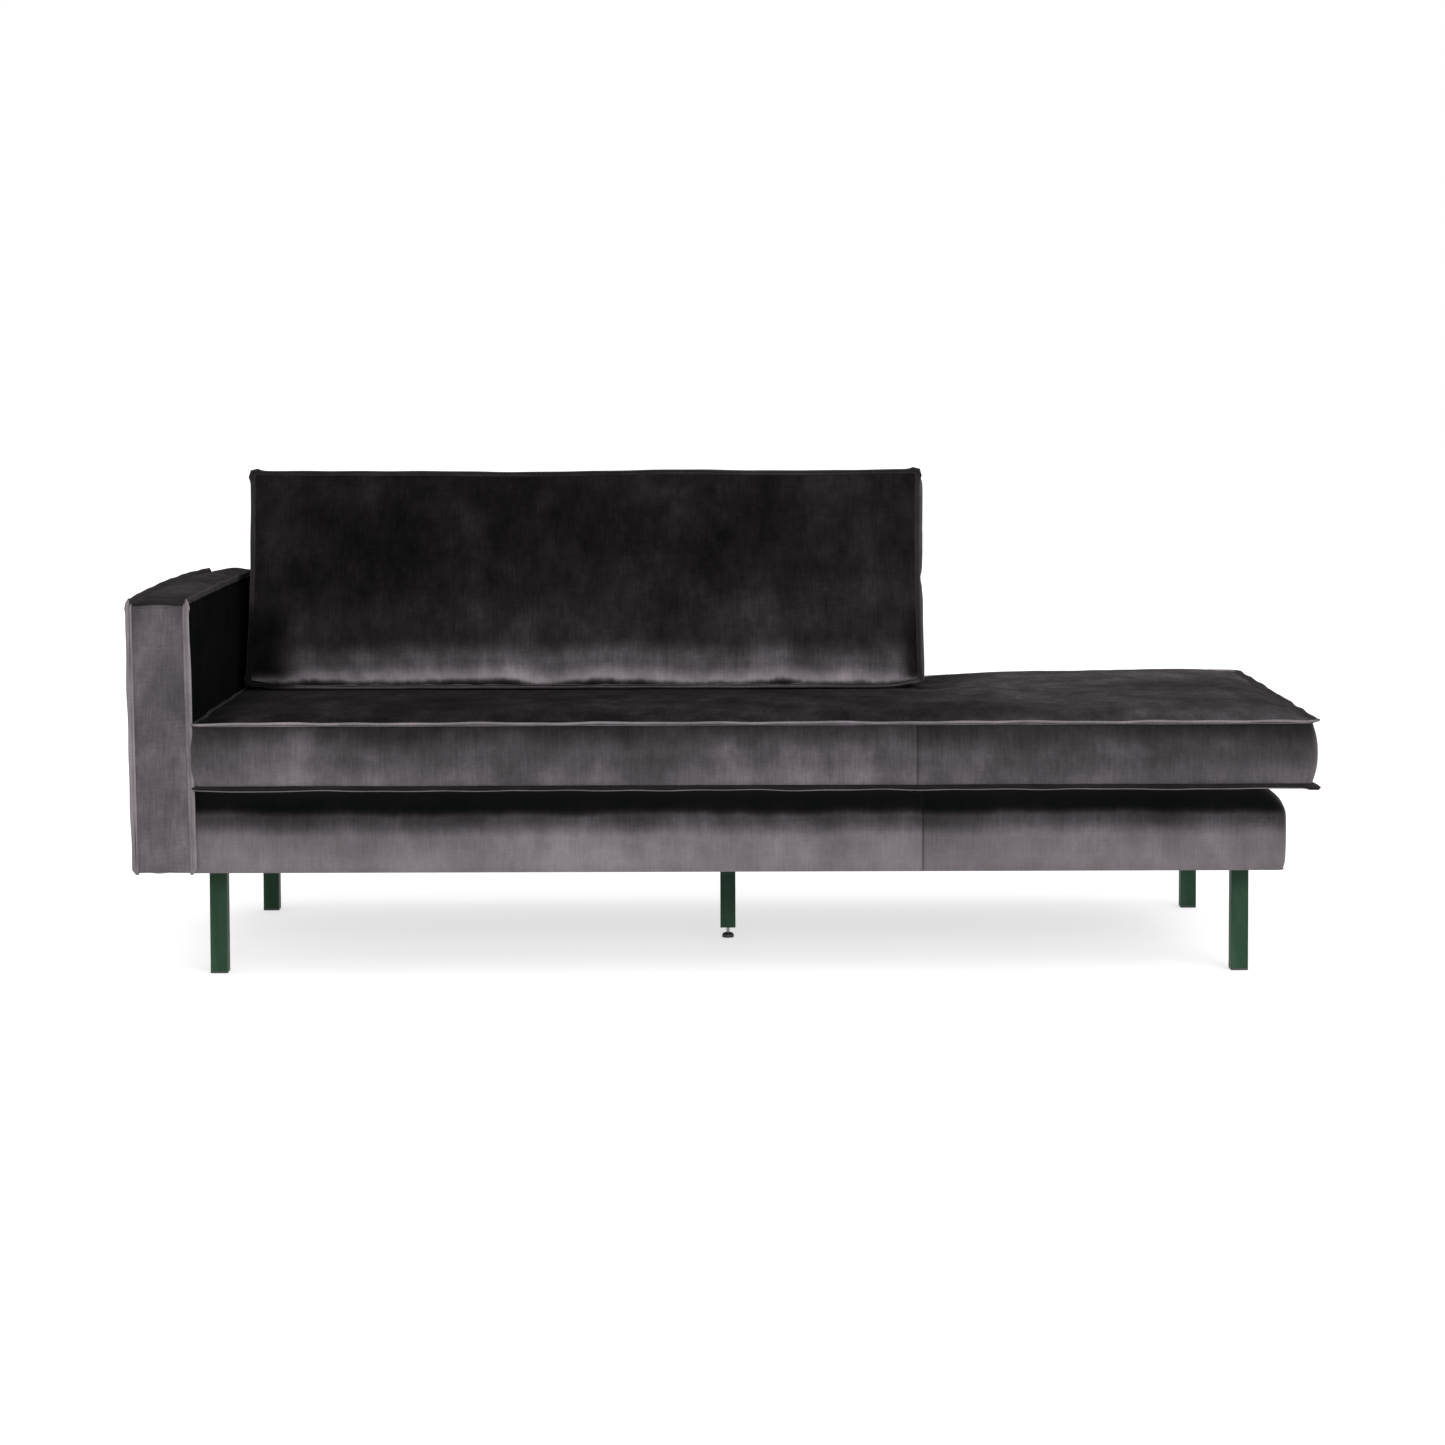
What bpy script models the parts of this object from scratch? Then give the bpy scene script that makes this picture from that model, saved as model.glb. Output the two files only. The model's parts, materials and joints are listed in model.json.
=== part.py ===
"""A velvet daybed with one arm, a part-length back, an L-shaped seat cushion and a loose back cushion.

Metres, +Z up, +X towards the open end, +Y towards the back. The origin is on the floor under
the centre of the bounding box. Each object is one physical piece, named for what it is.
"""
import math

import bmesh
import bpy
from mathutils import Matrix, Vector

# ---- driving dimensions -------------------------------------------------------------------
WIDTH = 2.030
DEPTH = 0.860
GAP = 0.0003            # running gap between pieces that touch
CLOTH = 0.003           # velvet with its lining
SEAM_FIN = 0.006        # how far the sewn edges stand out of a panel

ARM_THICKNESS = 0.110
ARM_TOP = 0.653
ARM_FRONT = -0.410
ARM_REAR = 0.424

BASE_BOTTOM = 0.192
BASE_TOP = 0.328
BASE_RIGHT = 0.963
BASE_EDGE_RADIUS = 0.036
RAIL_BOTTOM = 0.1955
RAIL_TOP = 0.280
RAIL_THICKNESS = 0.030

BACK_RIGHT = 0.352
BACK_FRONT = 0.308
BACK_REAR = 0.428
BACK_TOP = 0.650

SEAT_BOTTOM = BASE_TOP + GAP
SEAT_TOP = 0.452
SEAT_TOP_SEAM = 0.442
SEAT_BOTTOM_SEAM = 0.336
SEAT_LEFT = -0.896
SEAT_NOTCH_X = 0.364
SEAT_NOTCH_Y = 0.300

CUSHION_LEFT = -0.885
CUSHION_RIGHT = 0.370
CUSHION_TOP = 0.856
# The back cushion's side outline in Y and Z, from its front foot round by the top.
CUSHION_OUTLINE = [(0.080, SEAT_TOP + GAP), (0.165, 0.851), (0.330, CUSHION_TOP), (0.262, SEAT_TOP + GAP)]

SPRING_WIRE = 0.0018
SPRING_HALF_WIDTH = 0.024
SPRING_PITCH = 0.060
SPRING_X = (-0.66, -0.43, -0.20, 0.22, 0.45, 0.68)
CENTRE_X = 0.009        # centre support leg and the beam that carries it

LEG_SIDE = 0.030
CENTRE_LEG_SIDE = 0.028
LEG_WALL = 0.002
LEG_X = {"left": -0.877, "right": 0.901}
LEG_Y = {"front": -0.296, "rear": 0.319}
CENTRE_LEG_Y = 0.016
PLATE_TOP = 0.193
PLATE_BOTTOM = 0.1885
PLATE_SIZE = (0.054, 0.096)
BOLT_OFFSET = 0.034
GLIDE_HEIGHT = 0.004
CENTRE_TUBE_BOTTOM = 0.0195
STEM_RADIUS = 0.003
STEM_CLEARANCE = 0.00035
PAD_RADIUS = 0.011
PAD_HEIGHT = 0.009

LEFT = -WIDTH / 2
RIGHT = WIDTH / 2
ARM_INNER = LEFT + ARM_THICKNESS
BASE_LEFT = ARM_INNER + 0.0005
OVERCUT = 0.05          # how far a cutter runs past what it cuts


# ---- scene and helpers --------------------------------------------------------------------
def clear_scene():
    for obj in list(bpy.data.objects):
        bpy.data.objects.remove(obj, do_unlink=True)


def collection(name, hidden=False):
    made = bpy.data.collections.new(name)
    bpy.context.scene.collection.children.link(made)
    made.hide_render = hidden
    return made


def material(name, colour, roughness, metallic=0.0):
    made = bpy.data.materials.new(name)
    made.use_nodes = True
    shader = made.node_tree.nodes["Principled BSDF"]
    shader.inputs["Base Color"].default_value = (*colour, 1.0)
    shader.inputs["Roughness"].default_value = roughness
    shader.inputs["Metallic"].default_value = metallic
    return made


clear_scene()
DAYBED = collection("daybed")
CUTTERS = collection("cutters", hidden=True)
VELVET = material("velvet", (0.085, 0.075, 0.082), 0.85)
FOAM = material("foam", (0.80, 0.76, 0.62), 0.90)
TIMBER = material("timber", (0.55, 0.38, 0.22), 0.70)
BOARD = material("board", (0.36, 0.25, 0.16), 0.75)
SPRING_STEEL = material("spring_steel", (0.42, 0.42, 0.43), 0.35, 1.0)
GREEN_STEEL = material("green_steel", (0.035, 0.070, 0.048), 0.45)
PLASTIC = material("plastic", (0.010, 0.014, 0.012), 0.55)
ZINC = material("zinc", (0.60, 0.61, 0.62), 0.35, 1.0)
LINING = material("lining", (0.02, 0.02, 0.02), 0.95)
TAPE = material("tape", (0.06, 0.055, 0.06), 0.85)


def place(obj, name, finish, into=DAYBED):
    """Names the object, gives it its one material and files it in a collection."""
    obj.name = name
    obj.data.materials.clear()
    if finish:
        obj.data.materials.append(finish)
    for old in list(obj.users_collection):
        old.objects.unlink(obj)
    into.objects.link(obj)
    return obj


def cutter(obj):
    obj.hide_render = True
    obj.display_type = "WIRE"
    return place(obj, "cutter_" + obj.name, None, CUTTERS)


def box(name, low, high, finish=None):
    """A rectangular block between two opposite corners."""
    size = [b - a for a, b in zip(low, high)]
    middle = [(a + b) / 2 for a, b in zip(low, high)]
    bpy.ops.mesh.primitive_cube_add(size=1, location=middle)
    obj = bpy.context.object
    obj.scale = size
    bpy.ops.object.transform_apply(location=False, rotation=False, scale=True)
    return place(obj, name, finish) if finish else cutter(obj)


def cylinder(name, centre, radius, low, high, finish=None, sides=16):
    """An upright round bar."""
    middle = (centre[0], centre[1], (low + high) / 2)
    bpy.ops.mesh.primitive_cylinder_add(radius=radius, depth=high - low, vertices=sides, location=middle)
    obj = bpy.context.object
    return place(obj, name, finish) if finish else cutter(obj)


def curve_object(name, points, dimensions, cyclic):
    curve = bpy.data.curves.new(name, "CURVE")
    curve.dimensions = dimensions
    spline = curve.splines.new("POLY")
    spline.points.add(len(points) - 1)
    for point, at in zip(spline.points, points):
        point.co = (*at, 1.0)
    spline.use_cyclic_u = cyclic
    obj = bpy.data.objects.new(name, curve)
    CUTTERS.objects.link(obj)
    return obj


def as_mesh(obj, name):
    """A mesh copy of a curve object with its caps welded on; the curve is removed."""
    bpy.context.view_layer.update()
    graph = bpy.context.evaluated_depsgraph_get()
    mesh = bpy.data.meshes.new_from_object(obj.evaluated_get(graph))
    made = bpy.data.objects.new(name, mesh)
    made.matrix_world = obj.matrix_world
    CUTTERS.objects.link(made)
    bpy.data.objects.remove(obj, do_unlink=True)
    edit = bmesh.new()
    edit.from_mesh(mesh)
    bmesh.ops.remove_doubles(edit, verts=edit.verts, dist=1e-6)
    bmesh.ops.dissolve_limit(edit, angle_limit=0.001, verts=edit.verts, edges=edit.edges)
    bmesh.ops.recalc_face_normals(edit, faces=edit.faces)
    edit.to_mesh(mesh)
    edit.free()
    return made


def prism(name, outline, low, high, along="Z", finish=None):
    """A flat outline extruded from low to high along Z, or along X for an outline in Y and Z."""
    obj = curve_object(name, [(a, b, 0.0) for a, b in outline], "2D", True)
    obj.data.fill_mode = "BOTH"
    obj.data.extrude = (high - low) / 2
    middle = (low + high) / 2
    if along == "Z":
        obj.matrix_world = Matrix.Translation((0, 0, middle))
    else:
        turn = Matrix(((0, 0, 1, 0), (1, 0, 0, 0), (0, 1, 0, 0), (0, 0, 0, 1)))
        obj.matrix_world = Matrix.Translation((middle, 0, 0)) @ turn
    made = as_mesh(obj, name)
    made.data.transform(made.matrix_world)
    made.matrix_world = Matrix.Identity(4)
    return place(made, name, finish) if finish else cutter(made)


def inset(outline, distance):
    """The outline moved inwards by a distance, with its corners kept sharp."""
    area = sum(a[0] * b[1] - b[0] * a[1] for a, b in zip(outline, outline[1:] + outline[:1]))
    side = 1.0 if area > 0 else -1.0
    moved = []
    count = len(outline)
    for i in range(count):
        before, here, after = (Vector(outline[(i + k) % count]) for k in (-1, 0, 1))
        first = (here - before).normalized()
        second = (after - here).normalized()
        normals = [Vector((-d.y, d.x)) * side for d in (first, second)]
        bisector = (normals[0] + normals[1]).normalized()
        moved.append(tuple(here + bisector * distance / bisector.dot(normals[0])))
    return moved


def round_edges(obj, radius, segments, chosen):
    """Rounds the edges for which chosen(middle, direction) is true."""
    edit = bmesh.new()
    edit.from_mesh(obj.data)
    edges = []
    for edge in edit.edges:
        ends = [obj.matrix_world @ v.co for v in edge.verts]
        if chosen((ends[0] + ends[1]) / 2, (ends[1] - ends[0]).normalized()):
            edges.append(edge)
    bmesh.ops.bevel(
        edit, geom=edges, offset=radius, offset_type="OFFSET", segments=segments, profile=0.5,
        affect="EDGES", clamp_overlap=True,
    )
    edit.to_mesh(obj.data)
    edit.free()
    return obj


def change(obj, tools, operation):
    """Cuts the tools out of obj, or joins them to it, and keeps the result as plain mesh."""
    for tool in tools:
        modifier = obj.modifiers.new(operation.lower(), "BOOLEAN")
        modifier.operation = operation
        modifier.object = tool
        modifier.solver = "EXACT"
    bpy.context.view_layer.update()
    graph = bpy.context.evaluated_depsgraph_get()
    mesh = bpy.data.meshes.new_from_object(obj.evaluated_get(graph))
    obj.modifiers.clear()
    obj.data = mesh
    return obj


def cut(obj, *tools):
    return change(obj, tools, "DIFFERENCE")


def join(obj, *tools):
    return change(obj, tools, "UNION")


def sideways(direction):
    return abs(direction.z) < 0.5


# ---- timber base --------------------------------------------------------------------------
FRAME_FRONT = ARM_FRONT + 0.010
FRAME_REAR = 0.420
FRAME_RIGHT = BASE_RIGHT - 0.006
LEFT_RAIL_WIDTH = 0.058
BEAM_HALF_WIDTH = 0.035
BATTEN_HALF_WIDTH = 0.033


def base_frame():
    """Front and rear rails run the full length; the cross rails are fitted between them."""
    inner_front = FRAME_FRONT + RAIL_THICKNESS + GAP
    inner_rear = FRAME_REAR - RAIL_THICKNESS - GAP
    left = BASE_LEFT + 0.001
    beam = (CENTRE_X - BEAM_HALF_WIDTH, CENTRE_X + BEAM_HALF_WIDTH)
    batten = (LEG_X["right"] - BATTEN_HALF_WIDTH, LEG_X["right"] + BATTEN_HALF_WIDTH - GAP)
    spans = {
        "base_front_rail": ((left, FRAME_FRONT), (FRAME_RIGHT, FRAME_FRONT + RAIL_THICKNESS)),
        "base_rear_rail": ((left, FRAME_REAR - RAIL_THICKNESS), (FRAME_RIGHT, FRAME_REAR)),
        "base_left_rail": ((left, inner_front), (left + LEFT_RAIL_WIDTH, inner_rear)),
        "base_right_rail": ((batten[1] + GAP, inner_front), (FRAME_RIGHT, inner_rear)),
        "base_centre_beam": ((beam[0], inner_front), (beam[1], inner_rear)),
        "base_right_batten": ((batten[0], inner_front), (batten[1], inner_rear)),
    }
    rails = {}
    for name, (low, high) in spans.items():
        top = RAIL_TOP - 0.008 if name in ("base_centre_beam", "base_right_batten") else RAIL_TOP
        rails[name] = box(name, (*low, RAIL_BOTTOM), (*high, top), TIMBER)
    for name, y in (("base_front_rail", FRAME_FRONT), ("base_rear_rail", FRAME_REAR)):
        corner = Vector((FRAME_RIGHT, y))
        round_edges(rails[name], 0.028, 3, lambda m, d: abs(d.z) > 0.9 and (m.xy - corner).length < 1e-4)
    return rails


def zigzag_spring(name, x):
    """A sinuous wire spring lying across the rails, six points to a wave."""
    start = FRAME_FRONT + RAIL_THICKNESS / 2
    end = FRAME_REAR - RAIL_THICKNESS / 2
    height = RAIL_TOP + SPRING_WIRE + 0.0005
    waves = int((end - start) / SPRING_PITCH)
    points = [(x, start, height)]
    first = (start + end - waves * SPRING_PITCH) / 2
    for i in range(waves):
        for share, side in ((0.07, 0.8), (0.20, 1.0), (0.43, 0.8), (0.57, -0.8), (0.80, -1.0), (0.93, -0.8)):
            points.append((x + side * SPRING_HALF_WIDTH, first + (i + share) * SPRING_PITCH, height))
    points.append((x, end, height))
    obj = curve_object(name, points, "3D", False)
    obj.data.bevel_depth = SPRING_WIRE
    obj.data.bevel_resolution = 0
    obj.data.use_fill_caps = True
    return place(as_mesh(obj, name), name, SPRING_STEEL)


def base_outline(inward, past=0.0):
    """The L of the base seen from above: the back slab stands in its notch.

    past carries the sides that meet the arm and the back slab outwards instead of inwards.
    """
    left = BASE_LEFT + (inward if past == 0 else -past)
    notch_x = BACK_RIGHT + GAP + (inward if past == 0 else -past)
    notch_y = BACK_FRONT - GAP - (inward if past == 0 else -past)
    front, right, rear = ARM_FRONT + inward, BASE_RIGHT - inward, BACK_REAR - inward
    return [(left, front), (right, front), (right, rear), (notch_x, rear), (notch_x, notch_y), (left, notch_y)]


def base_soft_parts():
    """The deck pad, the velvet skin over it and the lining underneath."""
    def outer_top(middle, direction, height):
        outside = middle.y < ARM_FRONT + 0.02 or middle.x > BASE_RIGHT - 0.02
        outside = outside or (middle.y > BACK_REAR - 0.02 and middle.x > BACK_RIGHT)
        corner = abs(direction.z) > 0.9 and middle.x > BASE_RIGHT - 0.02
        return corner or (sideways(direction) and abs(middle.z - height) < 1e-4 and outside)

    skin = prism("base_cover", base_outline(0.0), BASE_BOTTOM, BASE_TOP, finish=VELVET)
    round_edges(skin, BASE_EDGE_RADIUS, 5, lambda m, d: outer_top(m, d, BASE_TOP))
    hollow_top = BASE_TOP - CLOTH
    hollow = prism("base_hollow", base_outline(CLOTH, OVERCUT), BASE_BOTTOM - OVERCUT, hollow_top)
    round_edges(hollow, BASE_EDGE_RADIUS - CLOTH, 5, lambda m, d: outer_top(m, d, hollow_top))
    cut(skin, hollow)

    pad_top = hollow_top - GAP
    pad = prism("deck_foam", base_outline(CLOTH + GAP), RAIL_TOP + 2 * SPRING_WIRE + 0.002, pad_top, finish=FOAM)
    round_edges(pad, BASE_EDGE_RADIUS - CLOTH, 4, lambda m, d: outer_top(m, d, pad_top))

    edge = CLOTH + 0.0005
    low = (BASE_LEFT, ARM_FRONT + edge, PLATE_TOP + 0.0002)
    high = (BASE_RIGHT - edge, BACK_REAR - edge, RAIL_BOTTOM - GAP)
    lining = box("dust_cover", low, high, LINING)
    return round_edges(lining, BASE_EDGE_RADIUS, 3, lambda m, d: abs(d.z) > 0.9 and m.x > BASE_RIGHT - 0.02)


# ---- arm ----------------------------------------------------------------------------------
ARM_FRAME_LEFT = LEFT + 0.019
ARM_FRAME_RIGHT = ARM_INNER - 0.024


def arm():
    """A slab at the closed end: a timber frame, foam on both faces, two panels and a band."""
    low_y, high_y = ARM_FRONT + 0.008, ARM_REAR - 0.008
    post = 0.045
    bottom, top = RAIL_BOTTOM + 0.0005, ARM_TOP - CLOTH - 0.004
    across = (ARM_FRAME_LEFT, ARM_FRAME_RIGHT)
    box("arm_front_post", (across[0], low_y, bottom), (across[1], low_y + post, top), TIMBER)
    box("arm_rear_post", (across[0], high_y - post, bottom), (across[1], high_y, top), TIMBER)
    between = (low_y + post + GAP, high_y - post - GAP)
    box("arm_top_rail", (across[0], between[0], top - post), (across[1], between[1], top), TIMBER)
    box("arm_bottom_rail", (across[0], between[0], bottom), (across[1], between[1], bottom + 0.060), TIMBER)

    front, rear = ARM_FRONT + CLOTH + GAP, ARM_REAR - CLOTH - GAP
    foam_top = ARM_TOP - CLOTH - GAP
    outside, inside = LEFT + CLOTH + GAP, ARM_INNER - CLOTH - GAP
    box("arm_outer_foam", (outside, front, bottom), (across[0] - GAP, rear, foam_top), FOAM)
    box("arm_inner_foam", (across[1] + GAP, front, bottom), (inside, rear, foam_top), FOAM)

    fin_low = (ARM_FRONT - SEAM_FIN, BASE_BOTTOM - CLOTH)
    fin_high = (DEPTH / 2, ARM_TOP + SEAM_FIN)
    for name, x in (("arm_outer_panel", LEFT), ("arm_inner_panel", ARM_INNER - CLOTH)):
        panel = box(name, (x, *fin_low), (x + CLOTH, *fin_high), VELVET)
        round_edges(panel, 0.012, 3, lambda m, d: abs(d.x) > 0.9)

    band = box("arm_band", (outside, ARM_FRONT, BASE_BOTTOM), (inside, ARM_REAR, ARM_TOP), VELVET)
    hollow_low = (outside - OVERCUT, ARM_FRONT + CLOTH, BASE_BOTTOM - OVERCUT)
    cut(band, box("band_hollow", hollow_low, (inside + OVERCUT, ARM_REAR - CLOTH, ARM_TOP - CLOTH)))


# ---- back slab ----------------------------------------------------------------------------
def back():
    """The fixed back behind the cushion: posts on the rear rail, a board, foam and a skin."""
    left = BASE_LEFT + 0.001
    right = BACK_RIGHT - CLOTH - 0.002
    front = BACK_FRONT + CLOTH + GAP
    foam_rear = front + 0.035
    board_rear = foam_rear + GAP + 0.004
    post = 0.045
    timber_top = BACK_TOP - CLOTH - 0.003
    post_y = (board_rear + GAP, FRAME_REAR)
    above = BASE_TOP + GAP
    box("back_foam", (left, front, above + 0.002), (right, foam_rear, timber_top), FOAM)
    box("back_board", (left, foam_rear + GAP, RAIL_TOP + 0.010), (right, board_rear, timber_top), BOARD)
    low, high = (post_y[0], RAIL_TOP + 0.001), (post_y[1], timber_top)
    box("back_left_post", (left, *low), (left + post, *high), TIMBER)
    box("back_right_post", (right - post, *low), (right, *high), TIMBER)
    rail_low = (left + post + GAP, post_y[0], timber_top - post)
    box("back_top_rail", rail_low, (right - post - GAP, post_y[1], timber_top), TIMBER)

    skin = box("back_cover", (BASE_LEFT, BACK_FRONT, BASE_BOTTOM), (BACK_RIGHT, BACK_REAR, BACK_TOP), VELVET)
    round_edges(skin, 0.010, 3, lambda m, d: m.z > BACK_TOP - 0.001 and abs(d.x) > 0.9)
    hollow_high = (BACK_RIGHT - CLOTH, BACK_REAR - CLOTH, BACK_TOP - CLOTH)
    hollow = box("back_hollow", (LEFT, BACK_FRONT + CLOTH, BASE_BOTTOM - OVERCUT), hollow_high)
    under_high = (BACK_RIGHT + OVERCUT, BACK_REAR - CLOTH, above)
    under = box("back_under", (LEFT, BACK_FRONT - OVERCUT, BASE_BOTTOM - OVERCUT), under_high)
    cut(skin, hollow, under)


# ---- cushions -----------------------------------------------------------------------------
ZIP_LEFT, ZIP_RIGHT = -0.78, 0.24
ZIP_HALF_HEIGHT = 0.009
SLIDER_FROM_END = 0.020


def seat_outline(inward):
    rear, right = DEPTH / 2 - SEAM_FIN, RIGHT - SEAM_FIN
    outline = [
        (SEAT_LEFT, -rear), (right, -rear), (right, rear),
        (SEAT_NOTCH_X, rear), (SEAT_NOTCH_X, SEAT_NOTCH_Y), (SEAT_LEFT, SEAT_NOTCH_Y),
    ]
    return inset(outline, inward) if inward else outline


def zip_pieces(prefix, pose):
    """The tape in its slot and the slider on it; pose carries them from a plan facing +Y."""
    gap = GAP
    tape_low = (ZIP_LEFT + gap, -CLOTH + gap, -ZIP_HALF_HEIGHT + gap)
    tape = box(prefix + "_zip", tape_low, (ZIP_RIGHT - gap, -gap, ZIP_HALF_HEIGHT - gap), TAPE)
    x = ZIP_RIGHT - SLIDER_FROM_END
    slider = box(prefix + "_zip_slider", (x - 0.007, gap, -0.005), (x + 0.007, 0.0035, 0.005), ZINC)
    tab = box("tab", (x - 0.003, 0.0012, -0.026), (x + 0.003, 0.0026, 0.0))
    slot_low = (ZIP_LEFT, -CLOTH - 0.004, -ZIP_HALF_HEIGHT)
    slot = box("slot", slot_low, (ZIP_RIGHT, 0.004, ZIP_HALF_HEIGHT))
    join(slider, tab)
    for obj in (tape, slider, slot):
        bpy.context.view_layer.update()
        obj.data.transform(pose @ obj.matrix_world)
        obj.matrix_world = Matrix.Identity(4)
    return slot


def seat_cushion():
    """An L-shaped foam core in a velvet cover, with a zip on the hidden side of the notch."""
    everywhere = lambda m, d: True  # noqa: E731
    rounding = 0.010

    def block(name, inward, radius, finish=None):
        made = prism(name, seat_outline(inward), SEAT_BOTTOM + inward, SEAT_TOP - inward, finish=finish)
        return round_edges(made, radius, 2, everywhere)

    cover = block("seat_cover", 0.0, rounding, VELVET)
    fins = [
        prism("fin", seat_outline(-SEAM_FIN), seam - 0.002, seam + 0.002)
        for seam in (SEAT_TOP_SEAM, SEAT_BOTTOM_SEAM)
    ]
    join(cover, *fins)
    middle = (SEAT_TOP + SEAT_BOTTOM) / 2
    slot = zip_pieces("seat", Matrix.Translation((0, SEAT_NOTCH_Y, middle)))
    cut(cover, block("seat_hollow", CLOTH, rounding - CLOTH), slot)
    block("seat_core", CLOTH + GAP, rounding - CLOTH, FOAM)


def back_cushion():
    """A loose cushion that leans on the back slab and stands on the seat cushion."""
    everywhere = lambda m, d: True  # noqa: E731
    rounding = 0.018

    def block(name, inward, radius, finish=None):
        outline = inset(CUSHION_OUTLINE, inward) if inward else CUSHION_OUTLINE
        made = prism(name, outline, CUSHION_LEFT + inward, CUSHION_RIGHT - inward, "X", finish)
        return round_edges(made, radius, 2, everywhere)

    cover = block("back_cushion_cover", 0.0, rounding, VELVET)
    rear_top, rear_foot = (Vector(p) for p in CUSHION_OUTLINE[2:])
    up = (rear_top - rear_foot).normalized()
    at = rear_foot + up * 0.060
    lean = Matrix.Rotation(-math.atan2(up.x, up.y), 4, "X")
    slot = zip_pieces("back_cushion", Matrix.Translation((0, at.x, at.y)) @ lean)
    cut(cover, block("cushion_hollow", CLOTH, rounding - CLOTH), slot)
    block("back_cushion_core", CLOTH + GAP, rounding - CLOTH, FOAM)


# ---- legs ---------------------------------------------------------------------------------
def leg(name, x, y, side, tube_bottom):
    """A square steel tube, open at the foot, welded to its mounting plate."""
    half, hole = side / 2, side / 2 - LEG_WALL
    tube = box(name, (x - half, y - half, tube_bottom), (x + half, y + half, PLATE_TOP - 0.001), GREEN_STEEL)
    round_edges(tube, 0.002, 2, lambda m, d: abs(d.z) > 0.9)
    wide, deep = (s / 2 for s in PLATE_SIZE)
    plate = box("plate", (x - wide, y - deep, PLATE_BOTTOM), (x + wide, y + deep, PLATE_TOP))
    bore = box("bore", (x - hole, y - hole, tube_bottom - OVERCUT), (x + hole, y + hole, PLATE_BOTTOM - 0.001))
    cut(join(tube, plate), bore)
    return tube


def leg_bolts(name, tube, x, y, timber, lining):
    """Two hexagon bolts through the plate and the lining into the timber above."""
    for label, offset in (("front", -BOLT_OFFSET), ("rear", BOLT_OFFSET)):
        centre = (x, y + offset)
        head_low = PLATE_BOTTOM - GAP - 0.005
        bolt = cylinder(f"{name}_bolt_{label}", centre, 0.0072, head_low, PLATE_BOTTOM - GAP, ZINC, 6)
        shank = cylinder("shank", centre, 0.0039, PLATE_BOTTOM - 0.002, RAIL_BOTTOM + 0.032, sides=10)
        join(bolt, shank)
        hole = cylinder("hole", centre, 0.0045, PLATE_BOTTOM - 0.003, RAIL_BOTTOM + 0.034, sides=10)
        cut(tube, hole)
        cut(timber, hole)
        cut(lining, hole)


def glide(name, x, y):
    """A plastic foot plugged into the end of a leg."""
    half, plug = LEG_SIDE / 2, LEG_SIDE / 2 - LEG_WALL - GAP
    foot = box(name, (x - half, y - half, 0.0), (x + half, y + half, GLIDE_HEIGHT), PLASTIC)
    round_edges(foot, 0.002, 2, lambda m, d: abs(d.z) > 0.9)
    join(foot, box("plug", (x - plug, y - plug, 0.001), (x + plug, y + plug, GLIDE_HEIGHT + 0.014)))


def turned(name, profile, centre, finish, steps=20):
    """A profile of (radius, height), starting and ending on the axis, turned about Z."""
    mesh = bpy.data.meshes.new(name)
    edges = [(i, i + 1) for i in range(len(profile) - 1)]
    mesh.from_pydata([(radius, 0.0, height) for radius, height in profile], edges, [])
    obj = bpy.data.objects.new(name, mesh)
    obj.location = (*centre, 0.0)
    CUTTERS.objects.link(obj)
    screw = obj.modifiers.new("turn", "SCREW")
    screw.steps = steps
    screw.render_steps = steps
    screw.use_merge_vertices = True
    screw.merge_threshold = 1e-5
    return place(obj, name, finish)


def levelling_foot(x, y):
    """The centre leg's screw foot: an insert in the tube, a stem and a pad that swivels on it."""
    plug = CENTRE_LEG_SIDE / 2 - LEG_WALL - GAP
    low, high = CENTRE_TUBE_BOTTOM, CENTRE_TUBE_BOTTOM + 0.018
    insert = box("centre_leg_insert", (x - plug, y - plug, low), (x + plug, y + plug, high), PLASTIC)
    bore = cylinder("bore", (x, y), STEM_RADIUS + STEM_CLEARANCE, low - OVERCUT, high + OVERCUT)
    cut(insert, bore)
    socket = STEM_RADIUS + STEM_CLEARANCE
    floor = 0.003
    cylinder("levelling_stem", (x, y), STEM_RADIUS, floor + GAP, floor + 0.042, ZINC)
    shoulder = 0.0035
    dome = [
        (socket + (PAD_RADIUS - socket) * math.sin(a), shoulder + (PAD_HEIGHT - shoulder) * math.cos(a))
        for a in (math.radians(18 * i) for i in range(1, 6))
    ]
    profile = [(0.0, floor), (socket, floor), (socket, PAD_HEIGHT), *dome, (PAD_RADIUS, 0.0), (0.0, 0.0)]
    turned("levelling_pad", profile, (x, y), PLASTIC)


def legs(rails, lining):
    for depth_name, y in LEG_Y.items():
        for side_name, x in LEG_X.items():
            name = f"{depth_name}_{side_name}"
            tube = leg(f"leg_{name}", x, y, LEG_SIDE, GLIDE_HEIGHT + GAP)
            timber = rails["base_left_rail" if side_name == "left" else "base_right_batten"]
            leg_bolts(f"leg_{name}", tube, x, y, timber, lining)
            glide(f"glide_{name}", x, y)
    tube = leg("leg_centre", CENTRE_X, CENTRE_LEG_Y, CENTRE_LEG_SIDE, CENTRE_TUBE_BOTTOM)
    leg_bolts("leg_centre", tube, CENTRE_X, CENTRE_LEG_Y, rails["base_centre_beam"], lining)
    levelling_foot(CENTRE_X, CENTRE_LEG_Y)


def main():
    rails = base_frame()
    for number, x in enumerate(SPRING_X, 1):
        zigzag_spring(f"zigzag_spring_{number}", x)
    lining = base_soft_parts()
    arm()
    back()
    seat_cushion()
    back_cushion()
    legs(rails, lining)
    for obj in DAYBED.objects:
        if obj.type == "MESH":
            obj.data.shade_smooth()
            obj.data.set_sharp_from_angle(angle=math.radians(40))


main()
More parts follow.
